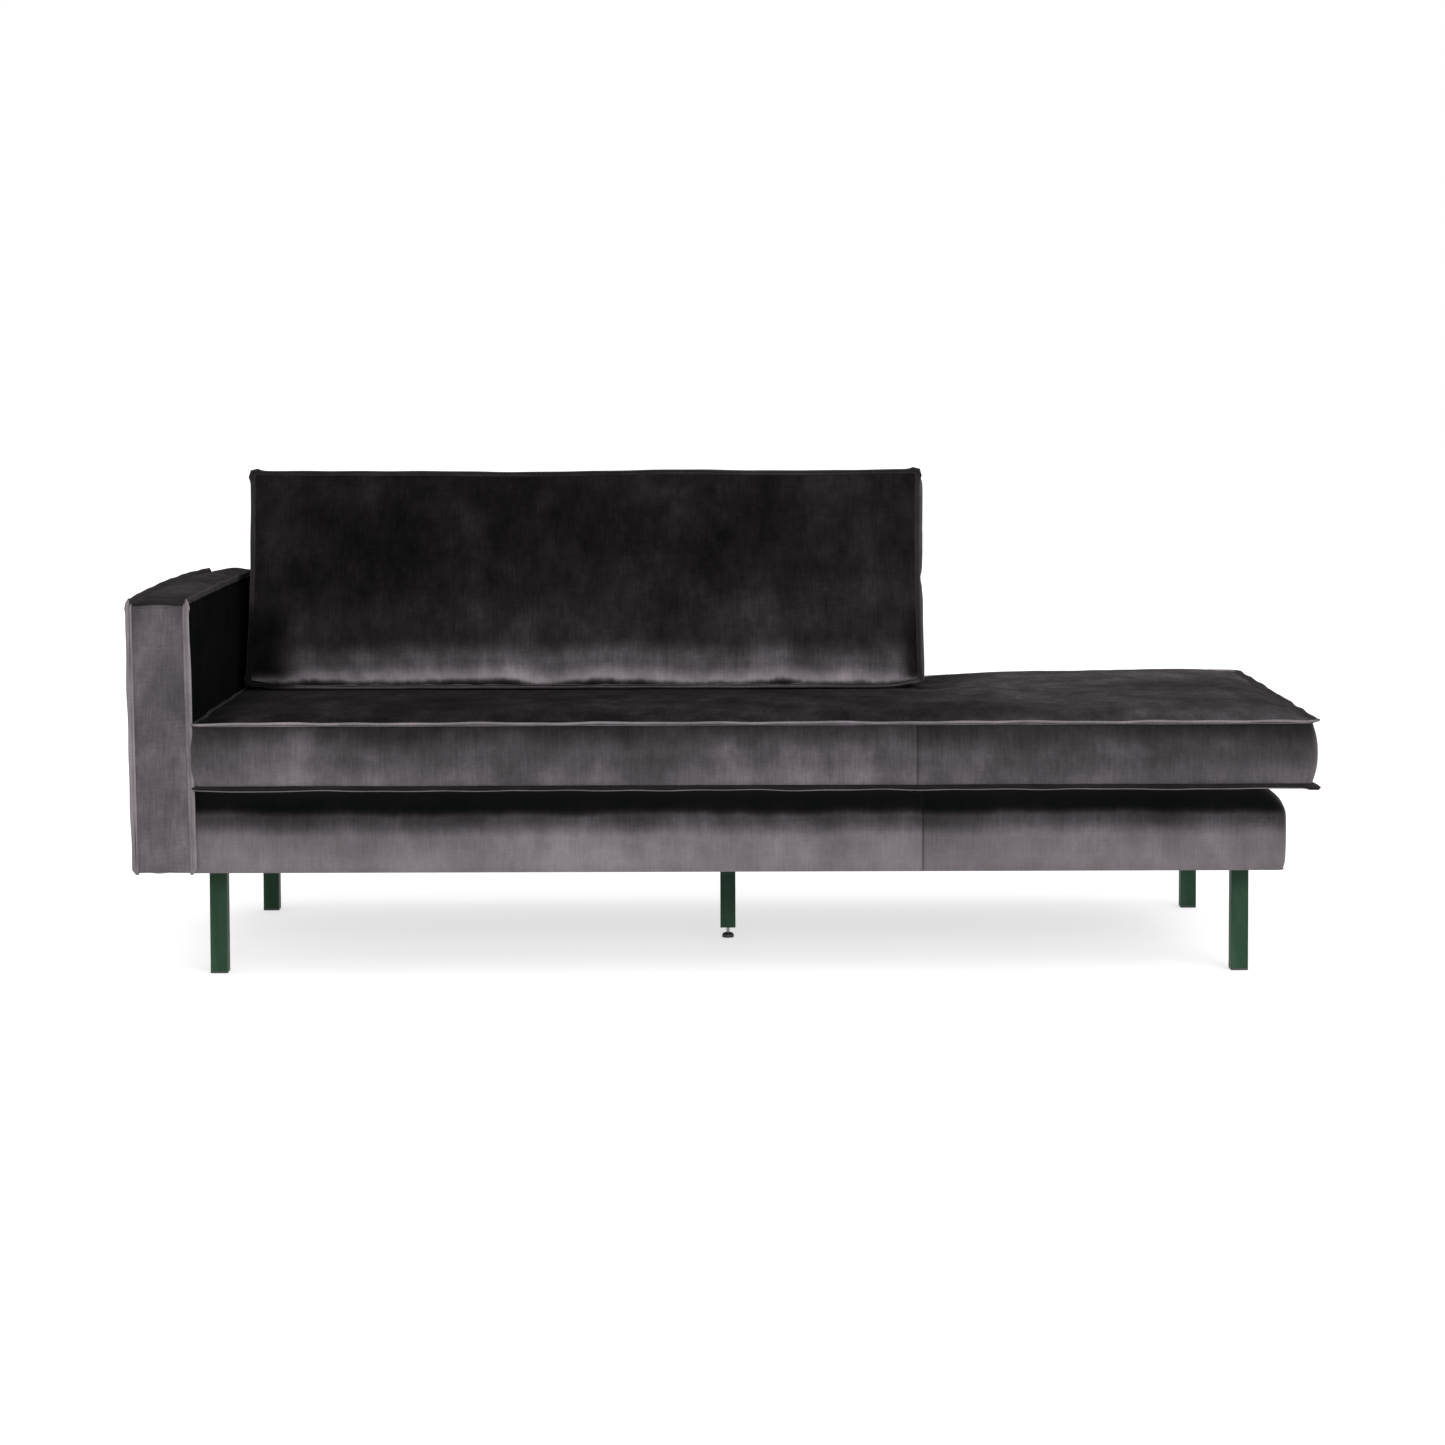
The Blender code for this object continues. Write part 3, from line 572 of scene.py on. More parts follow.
# ---- seat cushion ----
def seat_cushion(velvets):
    """The long cushion: an L from above, with crowned top, bulging sides and a flange round both edges."""
    low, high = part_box("seat_cover")
    back_low, back_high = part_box("back_cover")
    # The seams lie inside the CAD box, which the blown cloth and its flanges then fill.
    left, right = low[0] + 0.002, high[0] - 0.0075
    front, rear = low[1] + 0.010, high[1] - 0.010
    notch_x, notch_y = back_high[0] + 0.014, back_low[1] - 0.0125
    bottom, top = low[2] + 0.012, high[2] - 0.006
    us = with_seam(spaced([left, notch_x, right], COARSE_CELL, margin=0.052), SEAT_JOIN)
    vs = spaced([front, notch_y, rear], COARSE_CELL, margin=0.052)
    cloth = Boxed(us, vs, lambda u, v: u > notch_x or v < notch_y, 12)
    uv, rise, distance = cloth.uv.copy(), cloth.rise, cloth.distance
    corners = (
        ((left, front), (1, 1)), ((right, front), (-1, 1)), ((right, rear), (-1, -1)),
        ((notch_x, rear), (1, -1)), ((left, notch_y), (1, -1)),
    )
    for corner, inward in corners:
        round_corner(uv, corner, inward, radius=0.014)
    # The band bulges, and the seams waver a little from straight.
    waver = 0.0018 * ripple(uv[:, 0] + 1.7 * uv[:, 1], (0.62, 0.41, 0.23), 3)
    slide = 0.0085 * cloth.bulge + waver * (distance < 0.05)
    uv = uv + cloth.outward * slide[:, None]
    height = bottom + (top - bottom) * rise
    crown = np.where(rise > 0.5, 0.0130, -0.010) * cloth.shoulder(0.034)
    points = np.column_stack([uv, height + crown])
    piece = boxed_piece("seat_cushion", points, cloth, velvets["top"], velvets["top"], velvets["seat_band"])
    held = np.union1d(cloth.seams, np.flatnonzero(rise == 0))
    puff(piece, held, pressure=2.0, slack=0.006, cap=0.006)
    points = points_of(piece.data)
    x, y, z = points.T

    # The back cushion's foot presses the top down, and the deck flattens the underside.
    foot_low, foot_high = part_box("back_cushion_cover")
    dx = np.maximum(np.maximum(foot_low[0] - x, x - foot_high[0]), 0)
    dy = np.maximum(np.maximum(foot_low[1] - y, y - (foot_high[1] - 0.06)), 0)
    sunk = z + (np.minimum(z, foot_low[2] - 0.0015) - z) * bell(np.hypot(dx, dy), 0.085)
    z[:] = np.where((rise > 0.5) & ~cloth.on_band, sunk, z)
    beside = np.exp(-np.maximum(x - foot_high[0], 0) / 0.24) * (x > foot_high[0] - 0.01)
    behind = np.clip((y - 0.02) / 0.30, 0, 1)
    z -= 0.0125 * beside * behind * rise ** 2

    # Gathers that run away from the seams, waves in the filling, and the join in the front band.
    lift = points_of(piece.data, "normal")
    run = x + y
    gathers = ripple(run, (0.034, 0.047, 0.061, 0.089), 11) * cloth.near_edge(0.030)
    band_gathers = ripple(run, (0.031, 0.043, 0.075), 12) * cloth.by_seam
    swell = cloudy(points, 6.0, 4.0) * 0.0018 + cloudy(points, 17.0, 9.0) * 0.0006
    swell *= np.clip(distance / 0.05 + cloth.on_band * 0.6, 0, 1)
    depth = 0.0009 * gathers + 0.0007 * band_gathers + swell
    on_front = cloth.on_band & (y < 0)
    depth += join_groove(x - SEAT_JOIN) * on_front
    depth += corner_creases(points, rise, right, left) * on_front
    points += cloth.lifted(depth, lift)
    z[:] = np.maximum(z, low[2] + 0.0004)
    against_slab = (x < notch_x - 0.03) & (y > notch_y - 0.03)
    y[:] = np.where(against_slab, np.minimum(y, notch_y + 0.0008), y)
    smooth_surface(piece, points, cloth.low_ring, cloth.high_ring)
    fins = []
    tips = [corner for corner, _ in corners]
    flanges = (
        ("seat_top_flange", cloth.high_ring, 0.50, 21, ears(cloth.uv, tips[:2], 0.5), velvets["fin_seat"]),
        ("seat_bottom_flange", cloth.low_ring, -0.62, 22, ears(cloth.uv, tips), velvets["fin_low"]),
    )
    for name, ring, tilt, seed, longer, material in flanges:
        outward = np.column_stack([cloth.outward[ring], np.full(len(ring), tilt)])
        x, y = points[ring].T[:2]
        longer = np.where((x < notch_x - 0.03) & (y > 0), 0.75, longer[ring])
        # The arm presses the flange in along the left end.
        longer = longer * (1 - 0.6 * bell((x - left).clip(0), 0.012))
        fins.append(fin(name, points[ring], outward, (0, 0, 1), material, seed, longer))
    return piece, fins


def corner_creases(points, rise, right, left):
    """Slanting folds in the front band, where the filling pulls the cloth near both ends."""
    slant = points[:, 0] - 0.30 * (points[:, 2] - 0.39)
    near_ends = bell(points[:, 0] - right + 0.10, 0.055) + 0.8 * bell(points[:, 0] - left - 0.05, 0.045)
    return 0.0021 * ripple(slant, (0.027, 0.041, 0.066), 15) * near_ends * np.sin(math.pi * rise)


def join_groove(offset):
    """The dip of a flat sewn join, with the cloth a little full on both sides."""
    return -0.0032 * bell(offset, 0.0022) + 0.0012 * np.exp(-np.abs(offset) / 0.018)


# ---- back cushion ----
def back_cushion(velvets):
    """The loose cushion, leaning on the back slab: full, with a flange round both faces."""
    low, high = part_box("back_cushion_cover")
    lean = math.atan2(BACK_LEAN_RUN, high[2] - low[2])
    side, up, forward = np.array([
        (1.0, 0.0, 0.0), (0.0, math.sin(lean), math.cos(lean)), (0.0, -math.cos(lean), math.sin(lean))])
    foot = np.array([0.0, low[1] + 0.010, low[2]])
    height = (high[2] - low[2]) / math.cos(lean) - 0.0047
    left, right = low[0] + 0.0037, high[0] - 0.0037
    us = spaced([left, right], coarse=0.0125, margin=0.060)
    vs = spaced([0.006, height], coarse=0.0125, margin=0.060)
    cloth = Boxed(us, vs, lambda u, v: True, 14)
    uv, rise, distance = cloth.uv.copy(), cloth.rise, cloth.distance
    corners = (
        ((left, vs[0]), (1, 1)), ((right, vs[0]), (-1, 1)),
        ((right, vs[-1]), (-1, -1)), ((left, vs[-1]), (1, -1)),
    )
    for corner, inward in corners:
        round_corner(uv, corner, inward, radius=0.006)
    share_v = (uv[:, 1] - vs[0]) / (vs[-1] - vs[0])
    share_u = (uv[:, 0] - left) / (right - left)
    # The sides pull in a little between their corners, and the top edge wanders.
    pull = 0.003 * np.sin(math.pi * share_v)
    uv[:, 0] += np.where(share_u > 0.5, -pull, pull) * np.abs(2 * share_u - 1)
    uv[:, 1] += (0.0014 * ripple(uv[:, 0], (0.83, 0.47), 35) - 0.0022 * np.sin(math.pi * share_u)) * share_v
    # The sewn corners at the foot pull up off the seat.
    from_side = np.minimum(cloth.uv[:, 0] - left, right - cloth.uv[:, 0])
    uv[:, 1] += 0.009 * bell(from_side, 0.035) * (1 - share_v) ** 6
    bulge = 0.013 * cloth.bulge * np.where(cloth.outward[:, 1] < -0.7, 0.15, 1.0)
    uv = uv + cloth.outward * bulge[:, None]
    # The filling sinks, so the front stands out most just above the foot.
    sag = 1 + 0.35 * bell(share_v - 0.22, 0.22) - 0.25 * share_v
    belly = np.where(rise > 0.5, 0.032 * sag, -0.012) * cloth.shoulder(0.046)
    depth = -BACK_THICKNESS * (1 - rise) + belly
    points = foot + uv[:, :1] * side + uv[:, 1:] * up + depth[:, None] * forward
    cloths = (velvets[name] for name in ("cushion_rear", "cushion", "cushion_band"))
    piece = boxed_piece("back_cushion", points, cloth, *cloths)
    puff(piece, cloth.seams, pressure=2.5, slack=0.012, cap=0.010)
    points = points_of(piece.data)
    x, y, z = points.T

    lift = points_of(piece.data, "normal")
    run, climb = points @ side, points @ up
    edge_fade = cloth.near_edge(0.045) * ~cloth.on_band
    lower = np.clip(1 - share_v * 4, 0, 1)
    pinches = sum(pinch(cloth.uv - corner) for corner, _ in corners) * ~cloth.on_band
    gathers = ripple(run, (0.036, 0.052, 0.071, 0.117), 31) * edge_fade * (0.3 + 1.7 * lower)
    puckers = ripple(run, (0.19, 0.127, 0.083), 37) * bell(share_v - 0.09, 0.055)
    puckers *= (rise > 0.5) & ~cloth.on_band
    side_gathers = ripple(climb, (0.041, 0.067, 0.098), 32) * edge_fade * (np.abs(2 * share_u - 1) > 0.85)
    band_gathers = ripple(run + climb, (0.037, 0.051, 0.083), 33) * cloth.by_seam
    swell = cloudy(points, 5.0, 14.0) * 0.0040 + cloudy(points, 13.0, 19.0) * 0.0014
    depth = 0.0013 * gathers + 0.0011 * side_gathers + 0.0011 * band_gathers + 0.0022 * puckers
    depth += swell * np.clip(distance / 0.06 + cloth.on_band * 0.3, 0, 1) + pinches
    points += cloth.lifted(depth, lift)
    # The rear face lies flat on the slab's slope, with a shallow channel where its zip is sewn in.
    zip_low, zip_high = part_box("back_cushion_zip")
    behind = BACK_FOOT_REAR + rear_slope() * (z - low[2]) - 0.001
    on_zip = (z > zip_low[2] - 0.009) & (z < zip_high[2] + 0.009)
    on_zip &= (x > zip_low[0] - 0.01) & (x < zip_high[0] + 0.01)
    y[:] = np.minimum(y, behind - 0.0045 * on_zip)
    z[:] = np.maximum(z, low[2] + 0.0003)
    smooth_surface(piece, points, cloth.low_ring, cloth.high_ring)
    fins = []
    longer = 0.68 * ears(cloth.uv, [corner for corner, _ in corners], 0.80)
    flanges = (
        ("back_cushion_front_flange", cloth.high_ring, 0.40, 41),
        ("back_cushion_rear_flange", cloth.low_ring, 0.0, 42),
    )
    for name, ring, ahead, seed in flanges:
        outward = cloth.outward[ring][:, :1] * side + cloth.outward[ring][:, 1:] * up + ahead * forward
        path = points[ring]
        path[:, 2] = np.maximum(path[:, 2], low[2] + 0.006)
        made = fin(name, path, outward, forward, velvets["fin_dark"], seed, longer[ring])
        keep_above(made, low[2] + 0.0005)
        fins.append(made)
    return piece, fins


def pinch(from_corner):
    """Folds that run out of a sewn corner, like the ribs of a fan."""
    away = np.linalg.norm(from_corner, axis=1)
    turn = np.arctan2(np.abs(from_corner[:, 1]), np.abs(from_corner[:, 0]))
    return 0.0026 * np.cos(10.0 * turn) * np.clip(away / 0.016, 0, 1) * np.exp(-away / 0.038)


def rear_slope():
    """How far back the back cushion's rear face leans for each metre up."""
    low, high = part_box("back_cushion_cover")
    return (high[1] + 0.003 - BACK_FOOT_REAR) / (high[2] - low[2])


def keep_above(piece, floor):
    points = points_of(piece.data)
    points[:, 2] = np.maximum(points[:, 2], floor)
    move_points(piece, points)


# ---- arm ----
def arm_cover(velvets):
    """The arm's cover: two faces with flanges, and a band over the front, top and rear."""
    outer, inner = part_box("arm_outer_panel")[0][0] + 0.0105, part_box("arm_inner_panel")[1][0] - 0.009
    band_low, band_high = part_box("arm_band")
    seam = band_high[2] - 0.007
    us = spaced([band_low[1], band_high[1]], coarse=0.0135, margin=0.060)
    vs = with_seam(spaced([band_low[2], band_high[2]], coarse=0.0135, margin=0.050), seam)
    cloth = Boxed(us, vs, lambda u, v: True, 12)
    uv, rise, distance = cloth.uv.copy(), cloth.rise, cloth.distance
    for u, inward in ((us[0], 1), (us[-1], -1)):
        round_corner(uv, (u, vs[-1]), (inward, -1), radius=0.010)
    share_v = (cloth.uv[:, 1] - vs[0]) / (vs[-1] - vs[0])
    share_u = (cloth.uv[:, 0] - us[0]) / (us[-1] - us[0])
    fullness = 0.0030 + 0.0045 * share_u ** 2 * (cloth.outward[:, 1] > 0.5)
    bulge = fullness * cloth.bulge * (cloth.outward[:, 1] > -0.5)
    uv = uv + cloth.outward * bulge[:, None]
    belly = np.where(rise > 0.5, 0.0035, -0.0035) * cloth.shoulder(0.030)
    # The outer face slopes in towards the floor, and the inner front edge flares over the base.
    slope = 0.0065 * (1 - share_v) ** 1.3 * (1 - rise)
    flare = 0.0090 * (1 - share_v) ** 1.2 * rise * bell(cloth.uv[:, 0] - us[0], 0.030)
    x = outer + (inner - outer) * rise + belly + slope + flare
    # The top edge crowns in the middle, and its rear end sits a little low.
    crown = 0.0070 * np.sin(math.pi * share_u) ** 0.9 - 0.0035 * share_u ** 2
    uv[:, 1] += crown * np.clip(share_v * 4 - 3, 0, 1) * (1 - 0.7 * rise)
    points = np.column_stack([x, uv])
    cloths = (velvets[name] for name in ("band", "inner_face", "band", "arm_top"))
    piece = boxed_piece("arm_cover", points, cloth, *cloths)
    for polygon in piece.data.polygons:
        if polygon.normal.z > 0.7:
            polygon.material_index = 3
    puff(piece, cloth.seams, pressure=1.2, slack=0.008, cap=0.004)
    points = points_of(piece.data)
    lift = points_of(piece.data, "normal")
    run = points[:, 1] + points[:, 2]
    gathers = ripple(run, (0.037, 0.053, 0.081), 51) * cloth.near_edge(0.030) * ~cloth.on_band
    band_gathers = ripple(run, (0.029, 0.047, 0.078), 52) * cloth.by_seam
    swell = cloudy(points, 7.0, 24.0) * 0.0014 * np.clip(distance / 0.04 + 0.5 * cloth.on_band, 0, 1)
    depth = 0.0007 * gathers + 0.0007 * band_gathers + swell
    on_top = cloth.on_band & (cloth.outward[:, 1] > 0.9)
    depth += 0.0010 * ripple(points[:, 1] + 0.2 * points[:, 0], (0.043, 0.061, 0.094), 53) * on_top
    on_ends = cloth.on_band & (np.abs(cloth.outward[:, 0]) > 0.9)
    depth += join_groove(points[:, 2] - seam) * on_ends
    points += cloth.lifted(depth, lift)
    smooth_surface(piece, points, cloth.low_ring, cloth.high_ring)
    fins = []
    flanges = (
        ("arm_outer_flange", cloth.low_ring, -1, 0.5, 0.0, 61),
        ("arm_inner_flange", cloth.high_ring, 1, 0.9, 0.22, 62),
    )
    for name, ring, away, lean, extra, seed in flanges:
        # The flange runs up the front, over the top and down the rear, and is open along the bottom.
        on_bottom = cloth.outward[ring][:, 1] < -0.9
        start = int(np.flatnonzero(on_bottom & ~np.roll(on_bottom, -1))[0])
        order = np.roll(np.arange(len(ring)), -start)
        order = order[~on_bottom[order] | (order == start)]
        path = points[ring][order]
        plane = cloth.outward[ring][order]
        plane[0], plane[-1] = plane[2], plane[-3]
        on_front = np.clip(-plane[:, 0], 0, 1) ** 2
        outward = np.column_stack([(0.50 + lean * on_front) * away, plane])
        path[[0, -1], 2] -= 0.0025
        longer = ears(cloth.uv[ring][order], [(us[0], vs[-1])], 0.25) * (1 + extra * on_front)
        fins.append(fin(name, path, outward, (away, 0, 0), velvets["fin"], seed, longer, closed=False))
    return piece, fins


# ---- base and back slab ----
def rounded(points, low, high, radius):
    """Pulls the points of a square box in onto a rounded one; a limit of None leaves that side square."""
    core = points.copy()
    for axis in range(3):
        if low[axis] is not None:
            core[:, axis] = np.maximum(core[:, axis], low[axis] + radius)
        if high[axis] is not None:
            core[:, axis] = np.minimum(core[:, axis], high[axis] - radius)
    arm = points - core
    length = np.linalg.norm(arm, axis=1)[:, None]
    return np.where(length > 1e-9, core + arm / np.maximum(length, 1e-9) * radius, points)


def sharpen(points, centre, heading, wide, tight, share):
    """Squares up an upright corner, round centre, from a wide radius to a tight one by share, 0 to 1."""
    arm = (points[:, :2] - centre) * heading
    in_corner = (arm > 1e-6).all(axis=1)
    length = np.linalg.norm(arm, axis=1)
    ray = arm / np.maximum(length, 1e-9)[:, None]
    flat = wide / np.maximum(ray.max(axis=1), 1e-9)
    inner = wide - tight
    middle = ray.sum(axis=1) * inner
    bent = middle + np.sqrt(np.maximum(middle ** 2 - 2 * inner ** 2 + tight ** 2, 0))
    on_bend = (ray * bent[:, None]).min(axis=1) > inner
    reach = np.where(on_bend, bent, flat) / wide
    scale = 1 + (reach - 1) * share
    moved = centre + arm * scale[:, None] * np.array(heading)
    return np.where(in_corner[:, None], moved, points[:, :2])


def base_cover(velvet_cloth, deck_cloth):
    """The skin of the base, with a big soft top edge, tucked under at the bottom. Plain deck cloth lies under
    the seat cushion, inside a border of velvet."""
    low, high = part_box("base_cover")
    back_low, back_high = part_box("back_cover")
    notch_x, notch_y = back_high[0] + 0.0006, back_low[1] - 0.0006
    us = with_seam(spaced([low[0], notch_x, high[0]], coarse=0.020, margin=0.052), BASE_JOIN)
    us = us[np.concatenate([[True], np.diff(us) > 0.0006])]
    vs = spaced([low[1], notch_y, high[1]], coarse=0.020, margin=0.052)
    notch_u = us[np.argmin(abs(us - notch_x))]
    cloth = Boxed(us, vs, lambda u, v: u > notch_u or v < notch_y, 16)
    uv, rise, distance = cloth.uv, cloth.rise, cloth.distance
    points = np.column_stack([uv, low[2] + (high[2] - low[2]) * rise])
    outer = rounded(points, (None, low[1], None), (high[0], high[1], high[2]), BASE_RADIUS)
    behind_slab = (uv[:, 0] <= notch_u + 1e-6) & (uv[:, 1] > notch_y - BASE_RADIUS)
    points = np.where(behind_slab[:, None], points, outer)
    x, y, z = points.T
    below_edge = np.clip((high[2] - 0.006 - z) / (BASE_RADIUS - 0.006), 0, 1)
    for centre_y, heading in ((low[1] + BASE_RADIUS, -1), (high[1] - BASE_RADIUS, 1)):
        centre = (high[0] - BASE_RADIUS, centre_y)
        points[:, :2] = sharpen(points, centre, (1, heading), BASE_RADIUS, BASE_CORNER, below_edge)
    tuck = 0.0035 * np.exp(-rise / 0.04) * (distance < 1e-6)
    visible = (cloth.outward[:, 0] > 0.5) | (np.abs(cloth.outward[:, 1]) > 0.5)
    bulge = 0.0025 * np.sin(math.pi * rise) * cloth.on_band
    points[:, :2] += cloth.outward * ((bulge - tuck) * visible * ~behind_slab)[:, None]
    piece = mesh_object("base_cover_velvet", points, cloth.faces, velvet_cloth, deck_cloth)
    lift = points_of(piece.data, "normal")
    run = x + y
    pulls = ripple(run, (0.047, 0.083, 0.131), 71) * np.exp(-rise / 0.25) * cloth.on_band
    swell = cloudy(points, 6.0, 34.0) * 0.0016 + cloudy(points, 15.0, 39.0) * 0.0006
    deck_edge = bell(distance - DECK_BORDER, 0.004) * (rise > 0.999)
    depth = 0.0007 * pulls + swell * (rise > 0.05) - 0.0012 * deck_edge
    depth += join_groove(x - BASE_JOIN) * (y < 0) * (distance < 0.04) * (rise > 0)
    hidden = (x < low[0] + 0.004) | behind_slab
    points += lift * (depth * ~hidden)[:, None]
    z[:] = np.minimum(z, high[2] - 0.0002)
    x[:] = np.maximum(x, low[0])
    smooth_surface(piece, points)
    for polygon in piece.data.polygons:
        if polygon.normal.z > 0.5 and all(distance[k] > DECK_BORDER - 0.008 for k in polygon.vertices):
            polygon.material_index = 1
    return piece


def back_cover(material):
    """The skin of the back slab, tailored close over its frame."""
    low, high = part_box("back_cover")
    # The front is tucked in just below the top of the base, and only the rear runs on down.
    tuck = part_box("base_cover")[1][2] - 0.0060
    us = spaced([low[0], high[0]], coarse=0.020, margin=0.040)
    vs = spaced([low[2], tuck, high[2]], coarse=0.018, margin=0.030)
    cloth = Boxed(us, vs, lambda u, v: True, 12)
    uv, rise = cloth.uv, cloth.rise
    depth = high[1] - low[1]
    points = np.column_stack([uv[:, 0], high[1] - depth * rise, uv[:, 1]])
    rear_only = points[:, 2] < tuck - 0.0002
    points[:, 1] = np.where(rear_only, high[1] - 0.0035 * rise, points[:, 1])
    square = points.copy()
    points = rounded(points, (None, low[1], None), (high[0], high[1], high[2]), 0.012)
    points = np.where(rear_only[:, None], square, points)
    piece = mesh_object("back_cover_velvet", points, cloth.faces, material)
    lift = points_of(piece.data, "normal")
    swell = cloudy(points, 6.0, 44.0) * 0.0014
    still = rear_only | (points[:, 0] < low[0] + 0.004)
    points += lift * (swell * ~still)[:, None]
    smooth_surface(piece, points)
    return piece


# ---- zips and staples ----
def blocks(name, places, axes, size, material):
    """Many small tapered blocks in one mesh. axes are the block's own length, width and height directions."""
    length, width, height = (np.asarray(axis, float) * half for axis, half in zip(axes, np.array(size) / 2))
    points, faces = [], []
    for place in places:
        start = len(points)
        for lift, spread in ((-1, 1.0), (0.4, 1.0), (1, 0.7)):
            for a, b in ((-1, -1), (1, -1), (1, 1), (-1, 1)):
                points.append(place + spread * (a * length + b * width) + lift * height)
        for row in (start, start + 4):
            faces += [[row + k, row + (k + 1) % 4, row + 4 + (k + 1) % 4, row + 4 + k] for k in range(4)]
        faces += [[start + 3, start + 2, start + 1, start], [start + 8, start + 9, start + 10, start + 11]]
    return mesh_object(name, points, faces, material)


def zip_teeth(name, tape, facing, across, material):
    """The two rows of teeth along a zip's tape."""
    low, high = (np.array(corner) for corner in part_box(tape))
    middle = (low + high) / 2
    facing, across = (np.asarray(v, float) / np.linalg.norm(v) for v in (facing, across))
    places = []
    for k in range(int((high[0] - low[0] - 0.012) / ZIP_PITCH)):
        places.append(middle + facing * 0.0013 + across * (0.0009 if k % 2 else -0.0009))
        places[-1][0] = low[0] + 0.006 + k * ZIP_PITCH
    return blocks(name, places, ((1, 0, 0), across, facing), TOOTH, material)


def staples(material):
    """The staples that hold the dust cover, round its edge."""
    low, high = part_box("dust_cover")
    inset, depth = 0.012, low[2] - 0.0002
    along_x, along_y = (np.arange(low[axis] + 0.05, high[axis] - 0.03, STAPLE_STEP) for axis in (0, 1))
    front_rear = [np.array((x, y, depth)) for x in along_x for y in (low[1] + inset, high[1] - inset)]
    ends = [np.array((x, y, depth)) for y in along_y for x in (low[0] + inset, high[0] - inset)]
    rows = (
        ("dust_cover_staples", front_rear, ((1, 0, 0), (0, -1, 0), (0, 0, -1))),
        ("dust_cover_end_staples", ends, ((0, 1, 0), (1, 0, 0), (0, 0, -1))),
    )
    return [blocks(name, places, axes, STAPLE, material) for name, places, axes in rows]


# ---- assembly ----
def finish_piece(piece, body, replaced=()):
    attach(piece, body)
    if replaced:
        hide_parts(*replaced)


def paint_frame():
    """Gives every CAD node that stays in view its finished material."""
    finishes = {
        "foam": open_foam(),
        "timber": grained_wood("softwood", (0.58, 0.40, 0.23), (0.40, 0.25, 0.13)),
        "board": grained_wood("hardboard", (0.30, 0.20, 0.12), (0.22, 0.14, 0.08)),
        "spring_steel": bright_metal("spring_wire", (0.42, 0.42, 0.43), 0.35),
        "green_steel": powder_coat(),
        "plastic": moulded_plastic(),
        "zinc": bright_metal("zinc_plate", (0.25, 0.26, 0.26), 0.32),
        "lining": felted_lining(),
        "tape": woven_tape(),
    }
    slots = {entry["node"]: entry["material_slot"] for entry in frame["record"]["subparts"]}
    for node, piece in frame["nodes"].items():
        if slots[node] in finishes:
            for material_slot in piece.material_slots:
                material_slot.material = finishes[slots[node]]
    return finishes


def trim(finishes):
    slope, plastic = rear_slope(), finishes["plastic"]
    rows = (
        ("seat_zip", (0, 1, 0), (0, 0, 1), "seat_cushion"),
        ("back_cushion_zip", (0, 1, -slope), (0, slope, 1), "back_cushion"),
    )
    for tape, facing, across, body in rows:
        finish_piece(zip_teeth(tape + "_teeth", tape, facing, across, plastic), body)
    for piece in staples(finishes["zinc"]):
        finish_piece(piece, "root")


